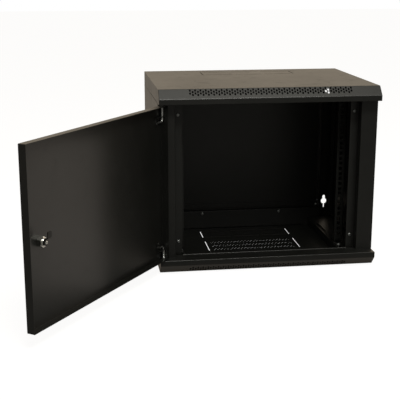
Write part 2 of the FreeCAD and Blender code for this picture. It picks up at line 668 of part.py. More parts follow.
def hinge_spring():
    """Return the lower spring, coiled between the collar and the bracket's ear.

    The wire is square in section and straight between SPRING_STEPS points of each turn.
    """
    low = SPRING_LOW + SPRING_WIRE
    high = EAR_LOW - PIN_STOP_GAP - SPRING_WIRE
    steps = SPRING_TURNS * SPRING_STEPS
    rings = []
    for i in range(steps + 1):
        angle = 2 * math.pi * i / SPRING_STEPS
        z = low + (high - low) * i / steps
        rings.append([Vec(HINGE_X + r * math.cos(angle), HINGE_Y + r * math.sin(angle), z + rise)
                      for r, rise in ((SPRING_RADIUS - SPRING_WIRE, 0), (SPRING_RADIUS, -SPRING_WIRE),
                                      (SPRING_RADIUS + SPRING_WIRE, 0), (SPRING_RADIUS, SPRING_WIRE))])
    triangles = []
    for here, there in zip(rings, rings[1:]):
        for k in range(4):
            a, b = here[k], here[(k + 1) % 4]
            c, d = there[(k + 1) % 4], there[k]
            triangles += [(a, b, c), (a, c, d)]
    for ring in (rings[0], rings[-1]):
        triangles += [(ring[0], ring[1], ring[2]), (ring[0], ring[2], ring[3])]
    faces = [Part.Face(Part.makePolygon([*corners, corners[0]])) for corners in triangles]
    spring = Part.makeSolid(Part.makeShell(faces))
    spring.fixTolerance(1e-6)
    return spring if spring.Volume > 0 else spring.reversed()


def lock_barrel():
    """Return the lock's housing, from its outer flange to the cam side."""
    front = (LOCK_X, DOOR_FACE - LOCK_FLANGE, LOCK_Z)
    rim = (LOCK_X, DOOR_FACE - LOCK_FLANGE * (1 - HEAD_CHAMFER), LOCK_Z)
    seat = (LOCK_X, DOOR_FACE, LOCK_Z)
    end = (LOCK_X, BARREL_END, LOCK_Z)
    flange = shaft(LOCK_FLANGE_RADIUS, seat, rim, LOCK_SIDES)
    crown = shaft(LOCK_FLANGE_RADIUS, rim, front, LOCK_SIDES,
                  LOCK_FLANGE_RADIUS - LOCK_FLANGE * HEAD_CHAMFER)
    body = shaft(BARREL_RADIUS, end, seat, LOCK_SIDES)
    core_hole = bore(CORE_RADIUS + PIN_FIT, front, end, LOCK_SIDES)
    return flange.fuse([crown, body]).removeSplitter().cut(core_hole)


def lock_nut():
    """Return the deep nut that clamps the lock to the door skin."""
    return nut(LOCK_NUT_RADIUS, LOCK_NUT_HEIGHT, BARREL_RADIUS,
               (LOCK_X, DOOR_SKIN, LOCK_Z), (0, 1, 0), LOCK_SIDES)


def lock_core():
    """Return the turning core with its keyway."""
    face = DOOR_FACE - LOCK_FLANGE
    core = rod(CORE_RADIUS, (LOCK_X, face, LOCK_Z), (LOCK_X, BARREL_END + PIN_STOP_GAP, LOCK_Z))
    keyway = box(LOCK_X - KEYWAY_WIDTH / 2, LOCK_X + KEYWAY_WIDTH / 2, face - CUT_OVERRUN,
                 face + KEYWAY_DEPTH, LOCK_Z - KEYWAY_HEIGHT / 2, LOCK_Z + KEYWAY_HEIGHT / 2)
    return core.cut(keyway)


def lock_cam():
    """Return the cranked cam, pointing up."""
    hub_back = BARREL_END + PIN_STOP_GAP
    half = CAM_WIDTH / 2
    crank_end = CAM_HUB_RADIUS + (CAM_TIP - hub_back) * CAM_CRANK
    side_view = [(hub_back, LOCK_Z), (hub_back, LOCK_Z + CAM_HUB_RADIUS), (CAM_TIP, LOCK_Z + crank_end),
                 (CAM_TIP, LOCK_Z + CAM_LENGTH)]
    arm = fold_along_x(side_view, -CAM_SHEET, LOCK_X - half, LOCK_X + half)
    near, far = (LOCK_X, hub_back, LOCK_Z), (LOCK_X, hub_back + CAM_SHEET, LOCK_Z)
    hub = shaft(CAM_HUB_RADIUS, near, far, WIRE_SIDES)
    return arm.fuse(hub).removeSplitter().cut(bore(M5_RADIUS, near, far, SHANK_SIDES))


def cam_screw():
    """Return the screw that holds the cam on the core."""
    seat = BARREL_END + PIN_STOP_GAP + CAM_SHEET
    return screw(M5_RADIUS, M5_HEAD_RADIUS, M5_HEAD_HEIGHT, CAM_SHEET, (LOCK_X, seat, LOCK_Z), (0, -1, 0))


def save(name, shape):
    """Write one piece, or a group of separate solids, to its STEP file."""
    if isinstance(shape, list):
        shape = Part.makeCompound(shape)
    shape.exportStep("parts/" + name + ".step")


def build():
    """Make every piece and write it."""
    os.makedirs("parts", exist_ok=True)
    save("bottom_cover", cover(True))
    save("top_cover", mirror_height(cover(False)))
    save("back_panel", back_panel())
    pairs = {"side_panel": side_panel(), "rear_post": rear_post(), "rail": rail()}
    for name, shape in pairs.items():
        save(name + "_right", shape)
        save(name + "_left", mirror_side(shape))
    post = front_post()
    save("front_post_right", post.cut(cam_slot()))
    save("front_post_left", mirror_side(post))
    channel = depth_channel()
    save("lower_channel_right", channel)
    save("lower_channel_left", mirror_side(channel))
    save("upper_channel_right", mirror_height(channel))
    save("upper_channel_left", mirror_height(mirror_side(channel)))
    save("lower_back_beam", back_beam())
    save("upper_back_beam", mirror_height(back_beam()))
    save("post_screws", post_screws())
    save("post_nuts", post_nuts())
    save("beam_screws", beam_screws())
    save("beam_nuts", beam_nuts())
    save("back_rivets", back_rivets())
    save("rail_bolts", rail_bolts())
    save("rail_nuts", rail_nuts())
    save("hinge_bush_lower", hinge_bush())
    save("hinge_bush_upper", mirror_height(hinge_bush()))
    save("door_shell", opened(door_shell()))
    save("hinge_pin_lower", opened(hinge_pin(LOWER_PIN_REACH)))
    save("hinge_pin_upper", opened(mirror_height(hinge_pin(UPPER_PIN_REACH))))
    for name, shape in {"hinge_bracket": hinge_bracket(), "hinge_spring": hinge_spring()}.items():
        save(name + "_lower", opened(shape))
        save(name + "_upper", opened(mirror_height(shape)))
    save("hinge_rivets", [opened(one) for one in hinge_rivets()])
    save("lock_barrel", opened(lock_barrel()))
    save("lock_nut", opened(lock_nut()))
    save("lock_core", opened(lock_core()))
    save("lock_cam", opened(lock_cam()))
    save("cam_screw", opened(cam_screw()))


build()
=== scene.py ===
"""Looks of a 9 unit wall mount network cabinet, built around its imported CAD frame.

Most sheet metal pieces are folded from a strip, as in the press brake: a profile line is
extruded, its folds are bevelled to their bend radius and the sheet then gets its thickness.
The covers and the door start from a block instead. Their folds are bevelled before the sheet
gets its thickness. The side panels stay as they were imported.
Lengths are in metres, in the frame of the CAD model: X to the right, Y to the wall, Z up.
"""
import json
import logging
import math
from dataclasses import dataclass
from enum import Enum
from typing import Callable, Iterable, Optional, Sequence

import bmesh
import bpy
from mathutils import Matrix, Vector


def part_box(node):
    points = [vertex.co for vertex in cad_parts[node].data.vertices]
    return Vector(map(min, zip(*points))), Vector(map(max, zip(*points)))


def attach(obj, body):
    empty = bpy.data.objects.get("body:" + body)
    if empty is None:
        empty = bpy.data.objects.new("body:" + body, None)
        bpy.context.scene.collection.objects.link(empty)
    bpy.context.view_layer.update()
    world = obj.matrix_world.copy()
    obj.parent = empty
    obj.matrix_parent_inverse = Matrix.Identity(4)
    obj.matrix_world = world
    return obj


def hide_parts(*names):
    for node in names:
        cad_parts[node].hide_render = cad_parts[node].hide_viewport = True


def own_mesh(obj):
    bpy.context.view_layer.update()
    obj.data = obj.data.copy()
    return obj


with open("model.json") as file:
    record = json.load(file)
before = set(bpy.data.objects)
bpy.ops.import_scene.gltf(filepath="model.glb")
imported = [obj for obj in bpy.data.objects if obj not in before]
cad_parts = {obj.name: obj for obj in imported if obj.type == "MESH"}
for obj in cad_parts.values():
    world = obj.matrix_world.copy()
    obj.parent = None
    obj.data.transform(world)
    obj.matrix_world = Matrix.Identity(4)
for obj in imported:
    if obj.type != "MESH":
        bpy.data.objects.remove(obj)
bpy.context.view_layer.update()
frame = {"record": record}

log = logging.getLogger("cabinet")

Point = tuple[float, float, float]
Pair = tuple[float, float]
Obj = bpy.types.Object
Socket = bpy.types.NodeSocket
Tree = bpy.types.ShaderNodeTree

SKIN = 0.0012           # sheet of the covers, the side panels, the back panel and the door
STEEL = 0.0015          # sheet of the posts, beams, channels and brackets
FOLD_OFFSET = 0.00144   # bevel of the folds of the covers and the door
M5_CLEARANCE = 0.00275  # radius of the holes for the small screws


class Run(Enum):
    """The axis that a folded strip is extruded along, and the plane its profile lies in."""

    ALONG_X = "profile in Y and Z"
    ALONG_Y = "profile in X and Z"
    ALONG_Z = "profile in X and Y"

    def place(self, u: float, v: float, w: float) -> Vector:
        """Return the point at (u, v) in the profile's plane and w along the run."""
        return {
            Run.ALONG_X: Vector((w, u, v)),
            Run.ALONG_Y: Vector((u, w, v)),
            Run.ALONG_Z: Vector((u, v, w)),
        }[self]


class Slot(Enum):
    """Material slots of the part's record."""

    COAT = "black_coat"
    ZINC = "zinc"
    CHROME = "lock_chrome"
    NYLON = "grey_nylon"


# ---------------------------------------------------------------------------------------
# Bench: selecting, cutting and finishing meshes with Blender's own operators
# ---------------------------------------------------------------------------------------


def only(obj: Obj) -> Obj:
    """Select one object alone and make it active.

    Args:
        obj: The object to work on.

    Returns:
        The same object.
    """
    bpy.ops.object.select_all(action="DESELECT")
    obj.select_set(True)
    bpy.context.view_layer.objects.active = obj
    return obj


def named(name: str) -> Obj:
    """Name the object that was just added, and its mesh."""
    obj = bpy.context.object
    obj.name = name
    obj.data.name = name
    return obj


def edit(obj: Obj) -> bmesh.types.BMesh:
    """Enter edit mode on an object with nothing selected.

    Args:
        obj: The mesh object to edit.

    Returns:
        Its edit mesh, for selecting by place or normal.
    """
    only(obj)
    bpy.ops.object.mode_set(mode="EDIT")
    bpy.ops.mesh.select_mode(type="VERT")
    bpy.ops.mesh.select_all(action="DESELECT")
    return bmesh.from_edit_mesh(obj.data)


def leave() -> None:
    """Return to object mode."""
    bpy.ops.object.mode_set(mode="OBJECT")


def everything() -> None:
    """Select the whole mesh, in edit mode."""
    bpy.ops.mesh.select_all(action="SELECT")


def pick(obj: Obj, kind: str, test: Callable[..., bool]) -> None:
    """Select the faces or edges that pass a test, in edit mode.

    Args:
        obj: The object in edit mode.
        kind: "FACE" or "EDGE".
        test: Says whether one is wanted.
    """
    bpy.ops.mesh.select_mode(type=kind)
    bpy.ops.mesh.select_all(action="DESELECT")
    mesh = bmesh.from_edit_mesh(obj.data)
    for element in [x for x in (mesh.faces if kind == "FACE" else mesh.edges) if test(x)]:
        element.select_set(True)
    bmesh.update_edit_mesh(obj.data)


def round_edges(obj: Obj, test: Callable[..., bool], offset: float,
                segments: int) -> None:
    """Bevel the edges that pass a test.

    Args:
        obj: The object to change.
        test: Says whether an edge is wanted.
        offset: Width of the bevel.
        segments: How many flats make it up.
    """
    edit(obj)
    pick(obj, "EDGE", test)
    bpy.ops.mesh.bevel(offset=offset, segments=segments, affect="EDGES")
    leave()


def apply_modifier(obj: Obj, kind: str, **settings: object) -> None:
    """Add a modifier with its settings and apply it.

    Args:
        obj: The object to change.
        kind: The modifier's type.
        **settings: The modifier's properties.
    """
    only(obj)
    bpy.ops.object.modifier_add(type=kind)
    modifier = obj.modifiers[-1]
    for key, value in settings.items():
        setattr(modifier, key, value)
    bpy.ops.object.modifier_apply(modifier=modifier.name)


def combine(obj: Obj, operation: str, tool: Obj) -> None:
    """Cut, join or intersect an object with a tool, and remove the tool."""
    apply_modifier(obj, "BOOLEAN", operation=operation, solver="EXACT", object=tool)
    bpy.data.objects.remove(tool)


def thicken(obj: Obj, thickness: float, offset: int = -1) -> None:
    """Give a surface its thickness, behind its faces or in front of them."""
    apply_modifier(obj, "SOLIDIFY", thickness=thickness, offset=offset, use_even_offset=True)


def recalculate(obj: Obj, merge: float = 1e-6) -> None:
    """Merge an object's doubled points and turn its faces outwards."""
    edit(obj)
    everything()
    bpy.ops.mesh.remove_doubles(threshold=merge)
    bpy.ops.mesh.normals_make_consistent(inside=False)
    leave()


def settle(obj: Obj) -> Obj:
    """Move an object's place, turn and size into its mesh."""
    only(obj)
    bpy.ops.object.transform_apply(location=True, rotation=True, scale=True)
    return obj


def block(name: str, low: Sequence[float], high: Sequence[float]) -> Obj:
    """Add a block between two corners.

    Args:
        name: The new object's name.
        low: Its lowest corner.
        high: Its highest corner.

    Returns:
        The block, with its place in its mesh.
    """
    low, high = Vector(low), Vector(high)
    bpy.ops.mesh.primitive_cube_add(size=1, location=(low + high) / 2)
    obj = named(name)
    obj.scale = high - low
    return settle(obj)


def rod(name: str, radius: float, start: Sequence[float], end: Sequence[float], sides: int = 32,
        end_radius: Optional[float] = None) -> Obj:
    """Add a round or faceted rod from one point to another.

    Args:
        name: The new object's name.
        radius: Its radius at the start, to its corners.
        start: The middle of its first end.
        end: The middle of its other end.
        sides: How many sides it has.
        end_radius: Its radius at the other end, where it tapers.

    Returns:
        The rod, with its place in its mesh.
    """
    start, end = Vector(start), Vector(end)
    bpy.ops.mesh.primitive_cone_add(
        vertices=sides, radius1=radius, radius2=radius if end_radius is None else end_radius,
        depth=(end - start).length, location=(start + end) / 2,
        rotation=(end - start).to_track_quat("Z", "X").to_euler(),
    )
    return settle(named(name))


def join(pieces: Sequence[Obj], name: str) -> Obj:
    """Join several objects into one, and name it."""
    bpy.ops.object.select_all(action="DESELECT")
    for piece in pieces:
        piece.select_set(True)
    bpy.context.view_layer.objects.active = pieces[0]
    bpy.ops.object.join()
    return named(name)


def twin(obj: Obj, name: str, place: Matrix) -> Obj:
    """Copy an object with a mesh of its own, moved, turned or mirrored.

    Args:
        obj: The object to copy.
        name: The copy's name.
        place: Where the copy goes, from where the first one is.

    Returns:
        The copy, with its faces outwards.
    """
    only(obj)
    bpy.ops.object.duplicate(linked=False)
    copy = named(name)
    copy.matrix_world = place @ copy.matrix_world
    settle(copy)
    if place.determinant() < 0:
        recalculate(copy)
    return copy


def cut(obj: Obj, cutters: Iterable[Obj]) -> None:
    """Cut holes in an object with cutters that don't touch each other, and remove them."""
    combine(obj, "DIFFERENCE", join(list(cutters), "cutter"))


def unite(pieces: Sequence[Obj], name: str) -> Obj:
    """Weld overlapping closed objects into one."""
    first, *others = pieces
    for other in others:
        combine(first, "UNION", other)
    first.name = first.data.name = name
    return first


def strand(name: str, points: Sequence[Sequence[float]]) -> Obj:
    """Draw a line from a single point, by extruding it from place to place.

    Args:
        name: The new object's name.
        points: The line's points.

    Returns:
        The line, still in edit mode.
    """
    bpy.ops.mesh.primitive_plane_add(size=0.01)
    obj = named(name)
    edit(obj)
    everything()
    bpy.ops.mesh.merge(type="CENTER")
    bpy.ops.transform.translate(value=points[0])
    for here, there in zip(points, points[1:]):
        step = [b - a for a, b in zip(here, there)]
        bpy.ops.mesh.extrude_vertices_move(TRANSFORM_OT_translate={"value": step})
    return obj


def turned(name: str, profile: Sequence[Pair], sides: int = 32) -> Obj:
    """Turn a profile about the Z axis, as on a lathe.

    Args:
        name: The new object's name.
        profile: Radius and height of its points, from one end to the other.
        sides: How many steps make up the turn.

    Returns:
        The turned object, closed where its profile starts and ends on the axis.
    """
    obj = strand(name, [(r, 0, z) for r, z in profile])
    everything()
    bpy.ops.mesh.spin(steps=sides, angle=2 * math.pi, center=(0, 0, 0), axis=(0, 0, 1))
    leave()
    recalculate(obj)
    return obj


def seated(seat: Sequence[float], direction: Sequence[float], roll: float = 0.0) -> Matrix:
    """Return the place of a piece that was made about the Z axis.

    Args:
        seat: Where the piece's origin goes.
        direction: Where its Z axis goes.
        roll: A turn about its own axis first, in radians.

    Returns:
        The place, for a twin of the piece.
    """
    turn = Vector(direction).to_track_quat("Z", "Y").to_matrix().to_4x4()
    return Matrix.Translation(seat) @ turn @ Matrix.Rotation(roll, 4, "Z")


def wire(name: str, points: Sequence[Sequence[float]], radius: float, bend: float) -> Obj:
    """Bend a round wire along a line and round off its ends.

    Args:
        name: The new object's name.
        points: The corners of its middle line.
        radius: Its radius.
        bend: Radius of the middle line at each corner, for square corners.

    Returns:
        The closed wire.
    """
    obj = strand(name, points)
    bpy.ops.mesh.select_all(action="DESELECT")
    mesh = bmesh.from_edit_mesh(obj.data)
    for vert in mesh.verts:
        vert.select_set(len(vert.link_edges) == 2)
    bpy.ops.mesh.bevel(offset=bend, segments=8, affect="VERTICES")
    leave()
    bpy.ops.object.convert(target="CURVE")
    curve = bpy.context.object.data
    curve.bevel_depth, curve.bevel_resolution, curve.use_fill_caps = radius, 4, True
    bpy.ops.object.convert(target="MESH")
    obj = named(name)
    recalculate(obj)
    round_edges(obj, lambda e: any(len(f.verts) > 4 for f in e.link_faces), radius * 0.3, 2)
    return obj


def hexagon(name: str, radius: float, height: float, hole: float) -> Obj:
    """Make a nut about the Z axis, from z = 0 up, with its corners turned down at both ends.

    Args:
        name: The new object's name.
        radius: Its radius to the corners.
        height: Its height.
        hole: Radius of its hole.

    Returns:
        The nut.
    """
    obj = rod(name, radius, (0, 0, 0), (0, 0, height), 6)
    drop = radius * 0.1
    barrel = turned("barrel", [(0, 0), (radius * 0.86, 0), (radius * 1.01, drop),
                               (radius * 1.01, height - drop), (radius * 0.86, height),
                               (0, height)], 48)
    combine(obj, "INTERSECT", barrel)
    cut(obj, [rod("hole", hole, (0, 0, -0.001), (0, 0, height + 0.001), 32)])
    return obj


def smooth(obj: Obj, angle: float = 38.0) -> None:
    """Shade bends smoothly and flats flat."""
    only(obj)
    bpy.ops.object.shade_smooth_by_angle(angle=math.radians(angle))
    apply_modifier(obj, "WEIGHTED_NORMAL", keep_sharp=True, weight=60)


def across(axis: int, tolerance: float = 1e-5) -> Callable[[bmesh.types.BMEdge], bool]:
    """Return a test for edges that run along one axis."""
    def test(edge: bmesh.types.BMEdge) -> bool:
        span = edge.verts[1].co - edge.verts[0].co
        return abs(span[axis]) > tolerance and abs(abs(span[axis]) - span.length) < tolerance
    return test


# ---------------------------------------------------------------------------------------
# Finishes
# ---------------------------------------------------------------------------------------


class NodeSheet:
    """A small helper that places and links nodes in one node tree."""

    def __init__(self, tree: bpy.types.NodeTree) -> None:
        """Start on a node tree."""
        self.tree = tree

    def add(self, kind: str, **values: object) -> bpy.types.Node:
        """Add a node and set its properties.

        Args:
            kind: The node's type name.
            **values: Its properties.

        Returns:
            The new node.
        """
        node = self.tree.nodes.new(kind)
        for key, value in values.items():
            setattr(node, key, value)
        return node

    def link(self, source: Socket, target: Socket) -> None:
        """Link an output to an input."""
        self.tree.links.new(source, target)

    def noise(self, where: Socket, scale: float, detail: float = 2.0) -> Socket:
        """Add a noise texture and return its value."""
        node = self.add("ShaderNodeTexNoise")
        node.inputs["Scale"].default_value = scale
        node.inputs["Detail"].default_value = detail
        self.link(where, node.inputs["Vector"])
        return node.outputs["Fac"]

    def spread(self, value: Socket, low: float, high: float, to_low: float = 0.0,
               to_high: float = 1.0) -> Socket:
        """Map a value from one range to another, clamped."""
        node = self.add("ShaderNodeMapRange")
        numbers = {"From Min": low, "From Max": high, "To Min": to_low, "To Max": to_high}
        for name, number in numbers.items():
            node.inputs[name].default_value = number
        self.link(value, node.inputs["Value"])
        return node.outputs["Result"]

    def maths(self, operation: str, first: Socket, second: object) -> Socket:
        """Combine a value with another value or a number."""
        node = self.add("ShaderNodeMath", operation=operation)
        self.link(first, node.inputs[0])
        if isinstance(second, (int, float)):
            node.inputs[1].default_value = second
        else:
            self.link(second, node.inputs[1])
        return node.outputs[0]


def new_group(name: str, inputs: dict[str, float], outputs: Sequence[str]) -> Tree:
    """Make an empty shader node group with float sockets.

    Args:
        name: The group's name.
        inputs: Its inputs and their usual values.
        outputs: Its outputs.

    Returns:
        The group, with its input and output nodes placed.
    """
    group = bpy.data.node_groups.new(name, "ShaderNodeTree")
    for label, value in inputs.items():
        socket = group.interface.new_socket(label, in_out="INPUT", socket_type="NodeSocketFloat")
        socket.default_value = value
    for label in outputs:
        group.interface.new_socket(label, in_out="OUTPUT", socket_type="NodeSocketFloat")
    group.nodes.new("NodeGroupInput")
    group.nodes.new("NodeGroupOutput")
    return group


class Effects:
    """Shader node groups that several finishes share, each built once."""

    def __init__(self) -> None:
        """Build every group."""
        self.grain = self._grain()
        self.handling = self._handling()

    def _grain(self) -> Tree:
        """Build the fine orange peel of a baked or plated surface.

        Returns:
            A group that puts out a height and a mask of its small hollows.
        """
        group = new_group("Surface grain", {"Cells per metre": 900.0, "Waviness": 0.4},
                          ["Height", "Hollows"])
        sheet = NodeSheet(group)
        given, out = group.nodes["Group Input"], group.nodes["Group Output"]
        place = sheet.add("ShaderNodeTexCoord").outputs["Object"]
        peel = sheet.add("ShaderNodeTexVoronoi", feature="SMOOTH_F1")
        peel.inputs["Smoothness"].default_value = 0.8
        sheet.link(place, peel.inputs["Vector"])
        sheet.link(given.outputs["Cells per metre"], peel.inputs["Scale"])
        wave = sheet.noise(place, 120.0, 3.0)
        wavy = sheet.maths("MULTIPLY", wave, given.outputs["Waviness"])
        sheet.link(sheet.maths("ADD", wavy, peel.outputs["Distance"]), out.inputs["Height"])
        sheet.link(sheet.spread(peel.outputs["Distance"], 0.25, 0.7), out.inputs["Hollows"])
        return group

    def _handling(self) -> Tree:
        """Build the faint cloudiness and smudges that handling leaves.

        Returns:
            A group that puts out a broad cloud and a mask of smudges.
        """
        group = new_group("Handling", {"Clouds per metre": 4.0, "Smudges per metre": 22.0},
                          ["Cloud", "Smudge"])
        sheet = NodeSheet(group)
        given, out = group.nodes["Group Input"], group.nodes["Group Output"]
        place = sheet.add("ShaderNodeTexCoord").outputs["Object"]
        cloud = sheet.add("ShaderNodeTexNoise")
        cloud.inputs["Detail"].default_value = 4.0
        cloud.inputs["Roughness"].default_value = 0.6
        sheet.link(place, cloud.inputs["Vector"])
        sheet.link(given.outputs["Clouds per metre"], cloud.inputs["Scale"])
        smudge = sheet.add("ShaderNodeTexNoise")
        smudge.inputs["Detail"].default_value = 6.0
        smudge.inputs["Distortion"].default_value = 1.2
        sheet.link(place, smudge.inputs["Vector"])
        sheet.link(given.outputs["Smudges per metre"], smudge.inputs["Scale"])
        sheet.link(sheet.spread(cloud.outputs["Fac"], 0.3, 0.7), out.inputs["Cloud"])
        sheet.link(sheet.spread(smudge.outputs["Fac"], 0.55, 0.75), out.inputs["Smudge"])
        return group


@dataclass(frozen=True)
class Finish:
    """One surface finish: its colour, gloss, grain and the marks of handling.

    Attributes:
        name: The material's name.
        slot: The record's slot that it stands for; not used.
        dark: The darker of its two colours, linear.
        light: The lighter of its two colours, linear.
        metallic: 1 for bare or plated metal.
        roughness: Its usual roughness.
        roughness_range: How much clouds and smudges change the roughness.
        specular: Its specular level, where 0.5 is ordinary varnish.
        cells: Grain cells per metre.
        waviness: How much slower waves add to the grain.
        bump: Height of the grain, in metres.
    """

    name: str
    slot: Slot
    dark: Point
    light: Point
    metallic: float
    roughness: float
    roughness_range: float
    specular: float
    cells: float
    waviness: float
    bump: float

    def build(self, effects: Effects) -> bpy.types.Material:
        """Make the material.

        Args:
            effects: The shared node groups.

        Returns:
            The new material.
        """
        material = bpy.data.materials.new(self.name)
        material.use_nodes = True
        sheet = NodeSheet(material.node_tree)
        shader = material.node_tree.nodes["Principled BSDF"]
        grain = sheet.add("ShaderNodeGroup", node_tree=effects.grain)
        grain.inputs["Cells per metre"].default_value = self.cells
        grain.inputs["Waviness"].default_value = self.waviness
        marks = sheet.add("ShaderNodeGroup", node_tree=effects.handling)
        ramp = sheet.add("ShaderNodeValToRGB")
        ramp.color_ramp.elements[0].color = (*self.dark, 1)
        ramp.color_ramp.elements[1].color = (*self.light, 1)
        tone = sheet.maths("MULTIPLY", marks.outputs["Cloud"], 0.7)
        tone = sheet.maths("ADD", tone, sheet.maths("MULTIPLY", grain.outputs["Hollows"], 0.3))
        sheet.link(tone, ramp.inputs["Fac"])
        sheet.link(ramp.outputs["Color"], shader.inputs["Base Color"])
        rough = sheet.maths("ADD", marks.outputs["Cloud"], marks.outputs["Smudge"])
        low, high = self.roughness - self.roughness_range, self.roughness + self.roughness_range
        sheet.link(sheet.spread(rough, 0.0, 1.6, low, high), shader.inputs["Roughness"])
        bump = sheet.add("ShaderNodeBump")
        bump.inputs["Distance"].default_value = self.bump
        bump.inputs["Strength"].default_value = 1.0
        sheet.link(grain.outputs["Height"], bump.inputs["Height"])
        sheet.link(bump.outputs["Normal"], shader.inputs["Normal"])
        shader.inputs["Metallic"].default_value = self.metallic
        shader.inputs["Specular IOR Level"].default_value = self.specular
        return material


BLACK_COAT = Finish("Black powder coat", Slot.COAT, (0.0040, 0.0042, 0.0036),
                    (0.0068, 0.0070, 0.0060), 0.0, 0.38, 0.05, 0.5, 1100.0, 0.5, 0.00003)
CAM_STEEL = Finish("Blackened steel", Slot.COAT, (0.010, 0.010, 0.009), (0.022, 0.022, 0.020),
                   0.6, 0.45, 0.06, 0.4, 1500.0, 0.5, 0.00003)
ZINC = Finish("Zinc plating", Slot.ZINC, (0.62, 0.63, 0.62), (0.80, 0.81, 0.80),
              1.0, 0.33, 0.08, 0.5, 1800.0, 0.6, 0.00002)
BOLT_ZINC = Finish("Dull zinc", Slot.ZINC, (0.20, 0.21, 0.21), (0.34, 0.35, 0.34),
                   1.0, 0.42, 0.08, 0.5, 1800.0, 0.6, 0.00002)
CHROME = Finish("Nickel chrome", Slot.CHROME, (0.60, 0.60, 0.57), (0.74, 0.74, 0.71),
                1.0, 0.22, 0.06, 0.5, 2600.0, 0.3, 0.00001)
NYLON = Finish("Grey nylon", Slot.NYLON, (0.045, 0.048, 0.046), (0.07, 0.073, 0.07),
               0.0, 0.48, 0.06, 0.4, 1500.0, 0.4, 0.00003)


class Paintshop:
    """Makes each finish once and dresses pieces in it."""

    def __init__(self) -> None:
        """Start with no finish made."""
        self.effects = Effects()
        self.made: dict[str, bpy.types.Material] = {}

    def material(self, finish: Finish) -> bpy.types.Material:
        """Return a finish's material, made on first use."""
        if finish.name not in self.made:
            self.made[finish.name] = finish.build(self.effects)
        return self.made[finish.name]

    def dress(self, obj: Obj, finish: Finish) -> None:
        """Give a whole object one finish."""
        obj.data.materials.clear()
        obj.data.materials.append(self.material(finish))

    def coat(self, obj: Obj, node: str, body: str = "cabinet") -> Obj:
        """Coat a sheet black and let it stand for its CAD node."""
        return self.fit(obj, BLACK_COAT, body, node)

    def fit(self, obj: Obj, finish: Finish, body: str, *nodes: str) -> Obj:
        """Finish a new piece, attach it to its body and let it stand for CAD nodes.

        Args:
            obj: The finished mesh, in its place at rest.
            finish: What it is coated or plated with.
            body: The CAD body that it rides on.
            *nodes: The CAD nodes that it stands for.

        Returns:
            The same object.
        """
        self.dress(obj, finish)
        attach(obj, body)
        if nodes:
            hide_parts(*nodes)
        log.info("%s: %d faces, %s, on %s", obj.name, len(obj.data.polygons), finish.name, body)
        return obj


# ---------------------------------------------------------------------------------------
# Sheet metal
# ---------------------------------------------------------------------------------------


@dataclass(frozen=True)
class Envelope:
    """Main planes of the cabinet, read from the frame.

    Attributes:
        half: Half the width.
        front: The covers' front plane.
        back: The plane that lies on the wall.
        height: The overall height.
        ledge: The level of the bottom cover's ledge.
    """

    half: float
    front: float
    back: float
    height: float
    ledge: float

    @classmethod
    def read(cls) -> "Envelope":
        """Read the planes from the boxes of the covers."""
        low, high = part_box("bottom_cover")
        return cls(high.x, low.y, high.y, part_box("top_cover")[1].z, high.z)

    @property
    def middle(self) -> float:
        """Half the height."""
        return self.height / 2

    def mirror_side(self) -> Matrix:
        """Return the reflection to the other side."""
        return Matrix.Scale(-1, 4, Vector((1, 0, 0)))

    def mirror_height(self) -> Matrix:
        """Return the reflection to the other end of the height."""
        return Matrix.Translation((0, 0, self.height)) @ Matrix.Scale(-1, 4, Vector((0, 0, 1)))

    def corners(self) -> list[Matrix]:
        """Return the places of a piece and its copies at the other three corners."""
        side, height = self.mirror_side(), self.mirror_height()
        return [Matrix.Identity(4), side, height, side @ height]


@dataclass
class FoldedSheet:
    """A strip of sheet steel, folded along a line and then given its thickness.

    Attributes:
        name: The new object's name.
        run: The axis that the folds run along.
        line: The profile's points, on one face of the sheet.
        start: Where the strip starts along the run.
        end: Where it ends.
        thickness: The sheet's thickness, to the left of the line, or to its right if negative.
        inner_bend: The radius inside each fold.
        segments: How many flats make up a fold.
    """

    name: str
    run: Run
    line: Sequence[Pair]
    start: float
    end: float
    thickness: float
    inner_bend: float = 0.0007
    segments: int = 4

    def build(self) -> Obj:
        """Fold the strip.

        Returns:
            The sheet, closed and with its faces outwards.
        """
        obj = strand(self.name, [self.run.place(u, v, self.start) for u, v in self.line])
        everything()
        span = self.run.place(0, 0, self.end - self.start)
        bpy.ops.mesh.extrude_edges_move(TRANSFORM_OT_translate={"value": span})
        everything()
        bpy.ops.mesh.normals_make_consistent(inside=False)
        left = self._left_of_first(obj)
        for before, corner, after in zip(self.line, self.line[1:], self.line[2:]):
            self._bend(obj, before, corner, after)
        leave()
        grows = 1 if left == (self.thickness > 0) else -1
        thicken(obj, abs(self.thickness), grows)
        recalculate(obj)
        return obj

    def _left_of_first(self, obj: Obj) -> bool:
        """Say whether the first flat's normal points to the left of the line."""
        (u0, v0), (u1, v1) = self.line[:2]
        middle = self.run.place((u0 + u1) / 2, (v0 + v1) / 2, (self.start + self.end) / 2)
        mesh = bmesh.from_edit_mesh(obj.data)
        first = min(mesh.faces, key=lambda f: (f.calc_center_median() - middle).length)
        return first.normal.dot(self.run.place(v0 - v1, u1 - u0, 0)) > 0

    def _bend(self, obj: Obj, before: Pair, corner: Pair, after: Pair) -> None:
        """Round one fold, wider where the line lies on the outside of the bend."""
        (u0, v0), (u1, v1), (u2, v2) = before, corner, after
        turn = math.atan2((u1 - u0) * (v2 - v1) - (v1 - v0) * (u2 - u1),
                          (u1 - u0) * (u2 - u1) + (v1 - v0) * (v2 - v1))
        outside = (turn > 0) == (self.thickness > 0)
        radius = self.inner_bend + (abs(self.thickness) if outside else 0)
        near, far = self.run.place(*corner, self.start), self.run.place(*corner, self.end)
        pick(obj, "EDGE", lambda e: {True} == {min((v.co - near).length, (v.co - far).length) < 1e-6
                                             for v in e.verts})
        bpy.ops.mesh.bevel(offset=radius * math.tan(abs(turn) / 2), segments=self.segments,
                           affect="EDGES")


